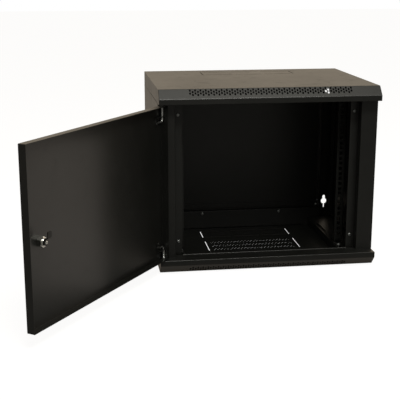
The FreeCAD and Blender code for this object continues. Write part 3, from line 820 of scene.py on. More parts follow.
def row_of(cutter: Obj, count: int, step: Sequence[float]) -> Obj:
    """Repeat a cutter in a row.

    Args:
        cutter: The first one.
        count: How many there are.
        step: From one to the next.

    Returns:
        The row, as one object.
    """
    apply_modifier(cutter, "ARRAY", count=count, use_relative_offset=False,
                   use_constant_offset=True, constant_offset_displace=step)
    return cutter


@dataclass
class Cover:
    """The bottom or top cover: a pan with a sloped, vented front and a ledge for the door.

    Attributes:
        node: The CAD node that it stands for.
        envelope: The cabinet's main planes.
        upside_down: Whether this is the top cover.
        chamfer: Depth and height of the sloped front.
        ledge_depth: Depth of the ledge.
        lip: Height of the lip folded from the ledge.
        hem: Radius of the hem on the ledge's rear edge.
        hem_half: Half its length.
        vent: Width and length of one vent.
        vent_step: Steps between neighbouring vents, across the front and down the slope.
        vent_rows: How many staggered rows there are.
        vent_columns: How many columns there are.
        vent_start: From the floor's fold up the slope to the first row.
        slot: Width of the knock-out slots.
        slot_half: Half the width of the knock-outs.
        rear_slots: Start and end of the rear knock-out, from the front.
        bridge: Web left between its slots.
        floor_slots: Start and end of the floor's front slots, from the front.
        floor_hole: Radius and pitch of the floor's holes.
        floor_columns: How many holes the first row of a band has.
        bands: From the front to the first band, from band to band and from row to row.
        below: Where the floor's cutters start.
        above: Where they end.
    """

    node: str
    envelope: Envelope
    upside_down: bool
    chamfer: Pair = (0.022, 0.024)
    ledge_depth: float = 0.052
    lip: float = 0.012
    hem: float = 0.0014
    hem_half: float = 0.2320
    vent: Pair = (0.0049, 0.0072)
    vent_step: Pair = (0.0070, 0.0046)
    vent_rows: int = 4
    vent_columns: int = 63
    vent_start: float = 0.0054
    slot: float = 0.0024
    slot_half: float = 0.1360
    rear_slots: Pair = (0.331, 0.395)
    bridge: float = 0.009
    floor_slots: Pair = (0.1960, 0.2895)
    floor_hole: Pair = (0.0024, 0.0100)
    floor_columns: int = 25
    bands: Point = (0.204, 0.0335, 0.008)
    below: float = -0.002
    above: float = 0.003

    def build(self, shop: Paintshop) -> Obj:
        """Form the pan, punch it and dress it."""
        obj = self._pan()
        cut(obj, self._vents())
        cut(obj, self._rear_slots())
        if not self.upside_down:
            cut(obj, self._floor_cutters())
        low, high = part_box("hinge_bush_lower")
        centre = (low + high) / 2
        cut(obj, [rod("bush hole", 0.0045, (centre.x, centre.y, low.z - 0.002),
                      (centre.x, centre.y, high.z + 0.002))])
        if self.upside_down:
            obj = self._turned_over(obj)
        smooth(obj)
        return shop.coat(obj, self.node)

    def _pan(self) -> Obj:
        """Form the bottom cover's pan from a block."""
        e = self.envelope
        obj = block(self.node + "_sheet", (-e.half, e.front, 0), (e.half, e.back, e.ledge))
        depth, height = self.chamfer
        edit(obj)
        everything()
        bpy.ops.mesh.bisect(plane_co=(0, e.front, height), plane_no=(0, -height, -depth),
                            use_fill=True, clear_outer=True)
        everything()
        rear = e.front + self.ledge_depth
        bpy.ops.mesh.bisect(plane_co=(0, rear, 0), plane_no=(0, 1, 0))
        pick(obj, "FACE", lambda f: f.normal.z > 0.9 and f.calc_center_median().y > rear)
        bpy.ops.mesh.delete(type="ONLY_FACE")
        pick(obj, "EDGE", lambda d: all(abs(v.co.y - rear) < 1e-6 and v.co.z > e.ledge - 1e-6
                                        for v in d.verts))
        bpy.ops.mesh.extrude_edges_move(TRANSFORM_OT_translate={"value": (0, 0, -self.lip)})
        everything()
        bpy.ops.mesh.normals_make_consistent(inside=False)
        pick(obj, "EDGE", lambda d: len(d.link_faces) == 2 and d.calc_face_angle() > 0.2)
        bpy.ops.mesh.bevel(offset=FOLD_OFFSET, segments=4, affect="EDGES")
        leave()
        thicken(obj, SKIN)
        return join([obj, self._hem(rear)], obj.name)

    def _hem(self, rear: float) -> Obj:
        """Return the rounded hem along the ledge's rear edge, between the posts."""
        y, z = rear - SKIN, self.envelope.ledge
        return rod("hem", self.hem, (-self.hem_half, y, z), (self.hem_half, y, z), 16)

    def _vents(self) -> list[Obj]:
        """Return the cutters of the staggered rows of vents."""
        e = self.envelope
        depth, height = self.chamfer
        slope = Matrix.Rotation(-math.atan2(height, depth), 4, "X")
        fold = Matrix.Translation((0, e.front + depth, 0))
        width, length = self.vent
        across_front, down_slope = self.vent_step
        rows = []
        for row in range(self.vent_rows):
            one = block("vent", (-width / 2, -length / 2, -0.003), (width / 2, length / 2, 0.003))
            round_edges(one, across(2), width * 0.4, 2)
            columns = (self.vent_columns + 1 - row % 2) // 2
            one = row_of(one, columns, (2 * across_front, 0, 0))
            start = Matrix.Translation((-(columns - 1) * across_front,
                                        -self.vent_start - row * down_slope, 0))
            one.matrix_world = fold @ slope @ start
            rows.append(settle(one))
        return rows

    def _side_slots(self, span: Pair) -> list[Obj]:
        """Return the cutters of a knock-out's slots on both sides.

        Args:
            span: Where the slots start and end, from the cabinet's front.

        Returns:
            The two cutters.
        """
        e, half = self.envelope, self.slot / 2
        return [block("slot", (x - half, e.front + span[0], self.below),
                      (x + half, e.front + span[1], self.above))
                for x in (-self.slot_half, self.slot_half)]

    def _rear_slots(self) -> list[Obj]:
        """Return the cutters of the slots round the rear cable knock-out."""
        e = self.envelope
        y0, y1 = e.front + self.rear_slots[0], e.front + self.rear_slots[1]
        cutters = self._side_slots(self.rear_slots)
        run = (2 * self.slot_half - 4 * self.bridge) / 3
        for y in (y0, y1 - self.slot):
            for x in (-run - self.bridge, 0, run + self.bridge):
                cutters.append(block("slot", (x - run / 2, y, self.below),
                                     (x + run / 2, y + self.slot, self.above)))
        return cutters

    def _floor_cutters(self) -> list[Obj]:
        """Return the cutters of the floor's front slots and of its bands of staggered holes."""
        cutters = self._side_slots(self.floor_slots)
        start, band_pitch, row_pitch = self.bands
        radius, pitch = self.floor_hole
        for band in range(3):
            for row in range(2):
                count = self.floor_columns - row
                y = self.envelope.front + start + band * band_pitch + row * row_pitch
                x = -(count - 1) / 2 * pitch
                hole = rod("hole", radius, (x, y, self.below), (x, y, self.above), 12)
                cutters.append(row_of(hole, count, (pitch, 0, 0)))
        return cutters

    def _turned_over(self, obj: Obj) -> Obj:
        """Reflect the pan to the top of the cabinet."""
        name = obj.name
        copy = twin(obj, "copy", self.envelope.mirror_height())
        bpy.data.objects.remove(obj)
        copy.name = copy.data.name = name
        return copy


@dataclass
class FrontPosts:
    """The front posts: a face beside the door, a step back and a recessed strip with screws.

    Attributes:
        envelope: The cabinet's main planes.
        setback: From the covers' front to the face.
        face: Width of the face.
        step: Depth of the step.
        strip: Width of the recessed strip.
        fold: Depth of the return along the side panel.
        foot: Level of the channels that the strips reach down to.
        screw: Place of the lower screws, from the middle and from the underside.
    """

    envelope: Envelope
    setback: float = 0.033
    face: float = 0.0443
    step: float = 0.029
    strip: float = 0.021
    fold: float = 0.030
    foot: float = 0.026
    screw: Pair = (0.244, 0.074)

    def build(self, shop: Paintshop) -> None:
        """Fold both posts and dress them."""
        e = self.envelope
        outer = e.half - SKIN
        inner = outer - self.face
        front = e.front + self.setback
        back = front + self.step
        line = [(outer, front + self.fold), (outer, front), (inner, front), (inner, back),
                (inner - self.strip, back)]
        post = FoldedSheet("front_post", Run.ALONG_Z, line, e.ledge, e.height - e.ledge,
                           -STEEL).build()
        tongue = block("tongue", (inner - self.strip, back, self.foot),
                       (inner, back + STEEL, e.ledge))
        ends = [tongue, twin(tongue, "tongue", e.mirror_height())]
        post = join([post, *ends], "front_post")
        x, z = self.screw
        cut(post, [rod("hole", M5_CLEARANCE, (x, back - 0.002, h), (x, back + 0.004, h), 20)
                   for h in (z, e.height - z)])
        left = twin(post, "front_post_left_sheet", e.mirror_side())
        right = only(post)
        right.name = right.data.name = "front_post_right_sheet"
        cut(right, [self._cam_slot(inner)])
        for piece, side in ((left, "left"), (right, "right")):
            smooth(piece)
            shop.coat(piece, "front_post_" + side)

    def _cam_slot(self, inner: float) -> Obj:
        """Return the cutter of the slot that the lock cam swings into."""
        box = frame["record"]["physics"]["openings"]
        low, high = next(o["box_m"] for o in box if o["name"] == "cam_slot")
        return block("cam slot", (inner - 0.002, low[1], low[2]), (inner + 0.004, high[1], high[2]))


@dataclass
class RearPosts:
    """The rear posts, whose faces lie on the wall and carry the keyholes.

    Attributes:
        envelope: The cabinet's main planes.
        face: Width of the face on the wall.
        fold: Depth of the return along the side panel.
        lip: Width of the lip at the return's end.
        web: Depth of the inner return.
        inset: From the side of the cabinet to the keyholes.
        level: From the underside to the lower keyhole's round hole.
        head: Radius of the round hole.
        neck: Width of the slot above it.
        rise: Reach of that slot.
        tail: Width of the slot below it.
        drop: Reach of that slot.
    """

    envelope: Envelope
    face: float = 0.0428
    fold: float = 0.030
    lip: float = 0.012
    web: float = 0.022
    inset: float = 0.023
    level: float = 0.073
    head: float = 0.009
    neck: float = 0.0084
    rise: float = 0.0195
    tail: float = 0.0035
    drop: float = 0.021

    def build(self, shop: Paintshop) -> None:
        """Fold both posts and dress them."""
        e = self.envelope
        outer = e.half - SKIN
        inner = outer - self.face
        line = [(outer - self.lip, e.back - self.fold), (outer, e.back - self.fold),
                (outer, e.back), (inner, e.back), (inner, e.back - self.web)]
        post = FoldedSheet("rear_post_right_sheet", Run.ALONG_Z, line, e.ledge, e.height - e.ledge,
                           STEEL).build()
        cut(post, [self._keyhole(self.level), self._keyhole(e.height - self.level)])
        smooth(post)
        left = twin(post, "rear_post_left_sheet", e.mirror_side())
        shop.coat(post, "rear_post_right")
        shop.coat(left, "rear_post_left")

    def _keyhole(self, z: float) -> Obj:
        """Return the cutter of one keyhole, whose neck points up."""
        e = self.envelope
        x, y0, y1 = e.half - self.inset, e.back - 0.004, e.back + 0.003
        parts = [rod("keyhole", self.head, (x, y0, z), (x, y1, z), 48)]
        for half, end in ((self.neck / 2, z + self.rise - self.neck / 2),
                          (self.tail / 2, z - self.drop + self.tail / 2)):
            parts.append(block("slot", (x - half, y0, min(z, end)), (x + half, y1, max(z, end))))
            parts.append(rod("end", half, (x, y0, end), (x, y1, end), 24))
        return unite(parts, "keyhole")


@dataclass
class BackBeams:
    """The beams across the back, from the covers to the back panel's edges.

    Attributes:
        envelope: The cabinet's main planes.
        step: Level of the step.
        foot: Depth of the foot.
        screw: Place of the lower screws, from the middle and from the underside.
        rivet: Place of the lower rivets, likewise.
    """

    envelope: Envelope
    step: float = 0.058
    foot: float = 0.014
    screw: Pair = (0.124, 0.049)
    rivet: Pair = (0.2506, 0.0636)

    def build(self, shop: Paintshop) -> None:
        """Fold both beams and dress them."""
        e = self.envelope
        low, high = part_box("lower_back_beam")
        line = [(low.y + self.foot, SKIN), (low.y, SKIN), (low.y, self.step),
                (e.back - SKIN - STEEL, self.step), (e.back - SKIN - STEEL, high.z)]
        beam = FoldedSheet("lower_back_beam_sheet", Run.ALONG_X, line, low.x, high.x,
                           -STEEL).build()
        kinds = ((M5_CLEARANCE, self.screw, low.y - 0.002, low.y + 0.004),
                 (RIVET.radius, self.rivet, e.back - 0.006, e.back))
        cut(beam, [rod("hole", radius, (side * x, y0, z), (side * x, y1, z))
                   for radius, (x, z), y0, y1 in kinds for side in (-1, 1)])
        smooth(beam)
        upper = twin(beam, "upper_back_beam_sheet", e.mirror_height())
        shop.coat(beam, "lower_back_beam")
        shop.coat(upper, "upper_back_beam")


def obround(name: str, half: float, start: Vector, end: Vector, low: float, high: float) -> Obj:
    """Return the cutter of an upright slot with round ends.

    Args:
        name: The new object's name.
        half: Half the slot's width.
        start: The middle of its first end's arc.
        end: The middle of its other end's arc, in line with the first along Y.
        low: Where it starts in height.
        high: Where it ends.

    Returns:
        The cutter.
    """
    body = block(name, (start.x - half, start.y, low), (start.x + half, end.y, high))
    ends = [rod("end", half, (p.x, p.y, low), (p.x, p.y, high), 24) for p in (start, end)]
    return unite([body, *ends], name)


@dataclass
class DepthChannels:
    """The four channels along the floor and the top that the rails are clamped to.

    Attributes:
        envelope: The cabinet's main planes.
        slot: Width of the clamping slots.
        slot_length: Their length.
        slot_starts: Where they start, from the cabinet's front.
        edge: From the clamping slots to the inner edge.
    """

    envelope: Envelope
    slot: float = 0.008
    slot_length: float = 0.090
    slot_starts: Pair = (0.095, 0.259)
    edge: float = 0.010

    def build(self, shop: Paintshop) -> None:
        """Fold the channel, copy it to the other corners and dress all four."""
        e = self.envelope
        low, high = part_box("lower_channel_right")
        line = [(high.x, SKIN), (high.x, high.z), (low.x, high.z), (low.x, SKIN)]
        channel = FoldedSheet("lower_channel_right_sheet", Run.ALONG_Y, line, low.y, high.y,
                              STEEL).build()
        half, x = self.slot / 2, low.x + self.edge
        slots = []
        for start in self.slot_starts:
            y0, y1 = e.front + start + half, e.front + start + self.slot_length - half
            slots.append(obround("slot", half, Vector((x, y0, 0)), Vector((x, y1, 0)),
                                 high.z - 0.004, high.z + 0.002))
        cut(channel, slots)
        smooth(channel)
        names = [f"{end}_channel_{side}" for end in ("lower", "upper")
                 for side in ("right", "left")]
        for node, place in zip(names, e.corners()):
            piece = channel if node == names[0] else twin(channel, node + "_sheet", place)
            shop.coat(piece, node)


@dataclass
class Rails:
    """The 19 inch rails, with a square hole for each cage nut.

    Attributes:
        envelope: The cabinet's main planes.
        sheet: Sheet thickness.
        tab: Length of the bent feet, ahead of the rail.
        tab_inset: From the rail's inner edge to the feet.
        tab_rise: Height of the flange that holds a foot to the rail.
        clamp: From the rail's inner front corner to the bolts, across and backwards.
        spacing: Between the two rails' hole centres.
        hole: Side of a square hole.
        corner: Radius of its corners.
        unit: One rack unit.
        units: How many there are.
        offsets: Hole centres within one unit.
    """

    envelope: Envelope
    sheet: float = 0.002
    tab: float = 0.025
    tab_inset: float = 0.002
    tab_rise: float = 0.012
    clamp: Pair = (0.0094, 0.009)
    spacing: float = 0.4651
    hole: float = 0.0095
    corner: float = 0.0008
    unit: float = 0.04445
    units: int = 9
    offsets: Point = (0.00635, 0.022225, 0.0381)

    def build(self, shop: Paintshop) -> None:
        """Fold the right rail with its feet, punch it, copy it and dress both."""
        e = self.envelope
        low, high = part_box("rail_right")
        front = low.y + self.tab
        line = [(low.x, front), (high.x, front), (high.x, high.y)]
        rail = FoldedSheet("rail", Run.ALONG_Z, line, low.z, high.z, self.sheet).build()
        cut(rail, self._holes(front))
        y = front + self.sheet
        foot_line = [(low.y, low.z), (y, low.z), (y, low.z + self.tab_rise)]
        foot = FoldedSheet("foot", Run.ALONG_X, foot_line, low.x + self.tab_inset,
                           high.x - self.sheet, self.sheet).build()
        x, y = low.x + self.clamp[0], low.y + self.clamp[1]
        cut(foot, [rod("hole", 0.00325, (x, y, low.z - 0.002), (x, y, low.z + 0.004), 24)])
        feet = [foot, twin(foot, "foot", e.mirror_height())]
        rail = join([rail, *feet], "rail_right_sheet")
        smooth(rail)
        left = twin(rail, "rail_left_sheet", e.mirror_side())
        shop.coat(rail, "rail_right")
        shop.coat(left, "rail_left")

    def _holes(self, front: float) -> list[Obj]:
        """Return the cutters of the square holes, in three columns of one per unit."""
        half, x = self.hole / 2, self.spacing / 2
        first = self.envelope.middle - self.units * self.unit / 2
        columns = []
        for offset in self.offsets:
            z = first + offset
            one = block("hole", (x - half, front - 0.002, z - half),
                        (x + half, front + 0.004, z + half))
            round_edges(one, across(1), self.corner, 2)
            columns.append(row_of(one, self.units, (0, 0, self.unit)))
        return columns


@dataclass
class BackPanel:
    """The back panel, with narrow flanges folded forwards between the beams.

    Attributes:
        envelope: The cabinet's main planes.
        flange: Depth of the flanges.
    """

    envelope: Envelope
    flange: float = 0.007

    def build(self, shop: Paintshop) -> None:
        """Fold the panel, notch it at the beams and dress it."""
        e = self.envelope
        low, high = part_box("back_panel")
        front = e.back - self.flange
        line = [(low.x, front), (low.x, e.back), (high.x, e.back), (high.x, front)]
        panel = FoldedSheet("back_panel_sheet", Run.ALONG_Z, line, low.z, high.z, -SKIN).build()
        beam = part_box("lower_back_beam")[1].z + 0.002
        cut(panel, [block("notch", (x - 0.003, front - 0.001, z0),
                          (x + 0.003, e.back - SKIN - 0.0001, z1))
                    for x in (low.x, high.x)
                    for z0, z1 in ((low.z - 0.001, beam), (e.height - beam, high.z + 0.001))])
        smooth(panel)
        shop.coat(panel, "back_panel")


# ---------------------------------------------------------------------------------------
# Fasteners
# ---------------------------------------------------------------------------------------

Seat = tuple[Sequence[float], Sequence[float]]


@dataclass(frozen=True)
class Headed:
    """A fastener with a round head.

    Attributes:
        radius: Radius of the shank.
        head: Radius of the head.
        height: Height of the head.
        grip: Length of the shank.
    """

    radius: float
    head: float
    height: float
    grip: float


class ScrewKind(Headed):
    """A cross recessed pan head screw."""

    def form(self) -> Obj:
        """Form the screw about the Z axis, with its head above z = 0."""
        r, h = self.head, self.height
        end = -self.grip
        shank = [(0, end), (self.radius * 0.8, end), (self.radius, end + 0.0006), (self.radius, 0)]
        head = [(r * 0.97, 0), (r, h * 0.08), (r, h * 0.42), (r * 0.94, h * 0.70),
                (r * 0.78, h * 0.90), (r * 0.5, h), (0, h)]
        obj = turned("screw", shank + head, 28)
        arm, half = r * 0.52, r * 0.11
        cross = [block("recess", (-a, -b, h * 0.4), (a, b, h * 1.2))
                 for a, b in ((arm, half), (half, arm))]
        cut(obj, [unite(cross, "recess")])
        return obj


class RivetKind(Headed):
    """A blind rivet, with the hollow that its mandrel leaves."""

    def form(self) -> Obj:
        """Form the rivet about the Z axis, with its head above z = 0."""
        r, h = self.head, self.height
        shank = [(0, -self.grip), (self.radius, -self.grip), (self.radius, 0)]
        head = [(r, 0), (r, h * 0.2), (r * 0.9, h * 0.6), (r * 0.7, h * 0.88), (r * 0.44, h)]
        hollow = [(r * 0.34, h * 0.95), (r * 0.3, h * 0.5), (0, h * 0.45)]
        return turned("rivet", shank + head + hollow, 24)


@dataclass(frozen=True)
class NutKind:
    """A hexagonal nut.

    Attributes:
        radius: Radius to the corners.
        height: Its height.
        hole: Radius of the hole.
    """

    radius: float
    height: float
    hole: float

    def form(self) -> Obj:
        """Form the nut about the Z axis, from z = 0 up."""
        return hexagon("nut", self.radius, self.height, self.hole)


M5 = ScrewKind(0.0025, 0.0046, 0.0026, 0.0085)
M6 = ScrewKind(0.0030, 0.0060, 0.0034, 0.0095)
M5_NUT = NutKind(0.0052, 0.004, 0.0025)
M6_NUT = NutKind(0.0062, 0.004, 0.0030)
RIVET = RivetKind(0.0020, 0.0038, 0.0013, 0.0027)


def fastened(kind: Headed | NutKind, node: str, seats: Sequence[Seat]) -> Obj:
    """Form one fastener and put a copy at each seat, each turned a little further.

    Args:
        kind: Which fastener it is.
        node: The CAD node that the group stands for.
        seats: The place of each seat and the way its Z axis points.

    Returns:
        The group, as one object.
    """
    first = kind.form()
    copies = [twin(first, node, seated(place, way, 0.7 * i))
              for i, (place, way) in enumerate(seats)]
    bpy.data.objects.remove(first)
    group = join(copies, node + "_formed")
    smooth(group)
    return group


@dataclass
class Fasteners:
    """The screws, bolts, nuts and rivets of the cabinet's frame.

    Attributes:
        envelope: The cabinet's main planes.
        posts: The front posts, for their screws.
        beams: The back beams, for their screws and rivets.
        rails: The rails, for their bolts.
    """

    envelope: Envelope
    posts: FrontPosts
    beams: BackBeams
    rails: Rails

    def build(self, shop: Paintshop) -> None:
        """Put every fastener of the frame in its seat."""
        e, posts, beams, rails = self.envelope, self.posts, self.beams, self.rails
        strip = e.front + posts.setback + posts.step
        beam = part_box("lower_back_beam")[0].y
        riveted = e.back - SKIN - STEEL
        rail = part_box("rail_right")[0]
        clamp = (rail.x + rails.clamp[0], rail.y + rails.clamp[1])
        top, under = rail.z + rails.sheet, rail.z - STEEL
        rows = (
            (M5, "post_screws", BOLT_ZINC, posts.screw, strip, -1),
            (M5_NUT, "post_nuts", ZINC, posts.screw, strip + STEEL, 1),
            (M5, "beam_screws", BOLT_ZINC, beams.screw, beam, -1),
            (M5_NUT, "beam_nuts", ZINC, beams.screw, beam + STEEL, 1),
            (RIVET, "back_rivets", ZINC, beams.rivet, riveted, -1),
        )
        for kind, node, finish, (x, z), y, way in rows:
            seats = [((s * x, y, h), (0, way, 0)) for s in (-1, 1) for h in (z, e.height - z)]
            shop.fit(fastened(kind, node, seats), finish, "cabinet", node)
        clamped = ((M6, "rail_bolts", top, 1), (M6_NUT, "rail_nuts", under, -1))
        for kind, node, level, way in clamped:
            seats = [((s * clamp[0], clamp[1], e.middle + h * (e.middle - level)), (0, 0, -h * way))
                     for s in (-1, 1) for h in (-1, 1)]
            shop.fit(fastened(kind, node, seats), BOLT_ZINC, "cabinet", node)


# ---------------------------------------------------------------------------------------
# Door, hinges and lock
# ---------------------------------------------------------------------------------------


@dataclass(frozen=True)
class Swing:
    """The door's hinge axis and how far the door stands open at rest.

    Attributes:
        pivot: A point of the axis, which runs along Z.
        opening: The angle from closed to rest, in radians, turning clockwise from above.
    """

    pivot: Vector
    opening: float

    @classmethod
    def read(cls) -> "Swing":
        """Read the hinge from the record's joints."""
        hinge = next(j for j in frame["record"]["behaviour"]["joints"] if j["name"] == "door_hinge")
        return cls(Vector(hinge["pos_m"]), math.radians(hinge["range_deg"][1]))

    def opened(self) -> Matrix:
        """Return the turn from the closed door to the open one."""
        move = Matrix.Translation(self.pivot)
        return move @ Matrix.Rotation(-self.opening, 4, "Z") @ move.inverted()

    def open(self, obj: Obj) -> Obj:
        """Swing an object that was modelled on the closed door to where it stands at rest."""
        obj.matrix_world = self.opened() @ obj.matrix_world
        return settle(obj)


@dataclass
class DoorTray:
    """The door: a tray folded from one sheet, with its flanges towards the cabinet.

    Attributes:
        envelope: The cabinet's main planes.
        swing: The door's hinge.
        setback: From the covers' front to the door's face.
        depth: Depth of the tray.
        hinge_gap: Gap beside the hinge.
        latch_gap: Gap beside the lock.
        end_gap: Gap above and below.
        lock_inset: From the free edge to the lock.
        lock_drop: From the middle of the cabinet down to the lock.
        lock_radius: Radius of the lock's hole.
        pin_hole: Radius of the holes for the hinge pins.
    """

    envelope: Envelope
    swing: Swing
    setback: float = 0.0082
    depth: float = 0.0202
    hinge_gap: float = 0.0025
    latch_gap: float = 0.003
    end_gap: float = 0.0025
    lock_inset: float = 0.056
    lock_drop: float = 0.0155
    lock_radius: float = 0.0095
    pin_hole: float = 0.00255

    @property
    def face(self) -> float:
        """The plane of the door's outer face, when closed."""
        return self.envelope.front + self.setback

    @property
    def left(self) -> float:
        """The door's hinge edge, when closed."""
        return -self.envelope.half + self.hinge_gap

    @property
    def bottom(self) -> float:
        """The door's lower edge."""
        return self.envelope.ledge + self.end_gap

    @property
    def lock(self) -> Vector:
        """The middle of the lock in the plane of the door's outer face, when closed."""
        e = self.envelope
        return Vector((e.half - self.latch_gap - self.lock_inset, self.face,
                       e.middle - self.lock_drop))

    def build(self, shop: Paintshop) -> Obj:
        """Form the tray closed, open it and dress it."""
        e = self.envelope
        obj = block("door_shell_sheet", (self.left, self.face, self.bottom),
                    (e.half - self.latch_gap, self.face + self.depth, e.height - self.bottom))
        edit(obj)
        pick(obj, "FACE", lambda f: f.normal.y > 0.9)
        bpy.ops.mesh.delete(type="ONLY_FACE")
        pick(obj, "EDGE", lambda d: len(d.link_faces) == 2)
        bpy.ops.mesh.bevel(offset=FOLD_OFFSET, segments=4, affect="EDGES")
        leave()
        thicken(obj, SKIN)
        pivot, low, high = self.swing.pivot, self.bottom, e.height - self.bottom
        x, y, z = self.lock
        cutters = [rod("hole", self.pin_hole, (pivot.x, pivot.y, h - 0.002),
                       (pivot.x, pivot.y, h + 0.002)) for h in (low, high)]
        cutters.append(rod("hole", self.lock_radius, (x, y - 0.002, z), (x, y + 0.004, z), 48))
        cut(obj, cutters)
        smooth(obj)
        self.swing.open(obj)
        return shop.coat(obj, "door_shell", "door")


@dataclass
class Hinges:
    """The sprung pins that the door swings on, with their bushes, brackets and springs.

    Attributes:
        envelope: The cabinet's main planes.
        swing: The door's hinge.
        door: The door, for its skin.
        pin: Radius of the pins.
        bend: Radius of the pins' bend, at the middle of the wire.
        sunk: How far the pins reach into the bushes.
        foot: From the hinge axis to the end of a pin's foot.
        reaches: From the ledge to the feet, below and above.
        collar: Radius, level and height of the collars.
        coil: Radius of the springs' wire and of their coils' middle.
        turns: How many turns a spring has.
        ear: Level of the brackets' ears.
        ear_depth: Depth of the ears.
        ear_width: Width of the ears.
        tab: Width and height of the part of a bracket that lies on the door.
        rivets: From a bracket's inner end to its rivets, and their levels.
        bush: Outer radius of a bush's sleeve, radius and height of its flange.
        keep: What is left of a spring's length when its pin is drawn; not used.
    """

    envelope: Envelope
    swing: Swing
    door: DoorTray
    pin: float = 0.0025
    bend: float = 0.008
    sunk: float = 0.006
    foot: float = 0.0195
    reaches: Pair = (0.039, 0.044)
    collar: Point = (0.0042, 0.043, 0.003)
    coil: Pair = (0.0006, 0.0034)
    turns: int = 7
    ear: float = 0.0685
    ear_depth: float = 0.0126
    ear_width: float = 0.034
    tab: Pair = (0.020, 0.0255)
    rivets: Point = (0.010, 0.077, 0.088)
    bush: Point = (0.0045, 0.0065, 0.0015)
    keep: float = 0.589

    def build(self, shop: Paintshop) -> None:
        """Make the lower hinge and its reflection above."""
        e = self.envelope
        ends = (("lower", Matrix.Identity(4)), ("upper", e.mirror_height()))
        bush, bracket, spring = self._bush(), self._bracket(), self._spring()
        for (end, place), reach in zip(ends, self.reaches):
            sleeve = twin(bush, f"hinge_bush_{end}_turned", place)
            shop.fit(sleeve, NYLON, "cabinet", f"hinge_bush_{end}")
            ear = self.swing.open(twin(bracket, f"hinge_bracket_{end}_folded", place))
            shop.coat(ear, f"hinge_bracket_{end}", "door")
            pin = self._pin(reach)
            rod_ = self.swing.open(twin(pin, f"hinge_pin_{end}_bent", place))
            bpy.data.objects.remove(pin)
            shop.fit(rod_, ZINC, end + "_pin", f"hinge_pin_{end}")
            coil = self.swing.open(twin(spring, f"hinge_spring_{end}_coiled", place))
            shop.fit(coil, ZINC, "door", f"hinge_spring_{end}")
            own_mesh(coil)
        for done in (bush, bracket, spring):
            bpy.data.objects.remove(done)
        inner, *levels = self.rivets
        x, y = self._tab_end() - inner, self.door.face + SKIN + STEEL
        seats = [((x, y, h), (0, 1, 0)) for z in levels for h in (z, e.height - z)]
        rivets = self.swing.open(fastened(RIVET, "hinge_rivets", seats))
        shop.coat(rivets, "hinge_rivets", "door")

    def _tab_end(self) -> float:
        """Return the brackets' end away from the hinge."""
        return self.door.left + SKIN + self.ear_width

    def _coiled(self) -> Pair:
        """Return the levels of the lower spring's ends."""
        return self.collar[1] + self.collar[2] + 0.0003, self.ear - 0.0003

    def _bush(self) -> Obj:
        """Turn the lower bush."""
        sleeve, flange, height = self.bush
        low, top, edge = -self.sunk, height, 0.0005
        bore = self.pin + 0.00005
        obj = turned("bush", [(bore, low), (sleeve - edge, low), (sleeve, low + 0.0006),
                              (sleeve, 0), (flange, 0), (flange, top - edge),
                              (flange - 0.0006, top),
                              (bore + edge, top), (bore, top - edge), (bore, low)], 32)
        smooth(obj)
        pivot = self.swing.pivot
        obj.matrix_world = Matrix.Translation((pivot.x, pivot.y, self.envelope.ledge))
        return settle(obj)

    def _bracket(self) -> Obj:
        """Fold the lower bracket from its strip and drill its ear."""
        skin, end, left = self.door.face + SKIN, self._tab_end(), self.door.left + SKIN
        width, height = self.tab
        line = [(skin, self.ear + height), (skin, self.ear), (skin + self.ear_depth, self.ear)]
        obj = FoldedSheet("bracket", Run.ALONG_X, line, end - width, end, STEEL).build()
        ear = block("ear", (left, skin + 0.0001, self.ear),
                    (end - width + 0.004, skin + self.ear_depth, self.ear + STEEL))
        round_edges(ear, lambda e: across(2)(e) and e.verts[0].co.x < left + 1e-5
                    and e.verts[0].co.y > skin + 0.005, 0.004, 5)
        obj = unite([obj, ear], "bracket")
        pivot = self.swing.pivot
        cut(obj, [rod("hole", self.pin + 0.00015, (pivot.x, pivot.y, self.ear - 0.001),
                      (pivot.x, pivot.y, self.ear + 0.003))])
        smooth(obj)
        return obj

    def _pin(self, reach: float) -> Obj:
        """Bend a lower pin and put its collar on.

        Args:
            reach: From the ledge to the foot.

        Returns:
            The pin, closed.
        """
        pivot, ledge = self.swing.pivot, self.envelope.ledge
        corner = Vector((pivot.x, pivot.y, ledge + reach))
        obj = wire("pin", [(pivot.x, pivot.y, ledge - self.sunk), corner,
                           corner + Vector((self.foot, 0, 0))], self.pin, self.bend)
        radius, level, height = self.collar
        edge, core = 0.0004, self.pin - 0.0001
        ring = turned("collar", [(core, 0), (radius - edge, 0), (radius, edge),
                                 (radius, height - edge), (radius - edge, height),
                                 (core, height), (core, 0)], 28)
        ring.matrix_world = Matrix.Translation((pivot.x, pivot.y, level))
        obj = join([obj, settle(ring)], "pin")
        smooth(obj)
        return obj

    def _spring(self) -> Obj:
        """Coil the lower spring."""
        thick, mean = self.coil
        low, high = self._coiled()
        bpy.ops.mesh.primitive_circle_add(vertices=10, radius=thick, location=(mean, 0, 0),
                                          rotation=(math.pi / 2, 0, 0))
        obj = settle(named("spring"))
        rise = high - low - 2 * thick
        apply_modifier(obj, "SCREW", axis="Z", angle=2 * math.pi, iterations=self.turns,
                       screw_offset=rise / self.turns, steps=20, render_steps=20)
        edit(obj)
        everything()
        bpy.ops.mesh.fill_holes(sides=0)
        leave()
        recalculate(obj)
        smooth(obj, 60.0)
        pivot = self.swing.pivot
        obj.matrix_world = Matrix.Translation((pivot.x, pivot.y, low + thick))
        return settle(obj)


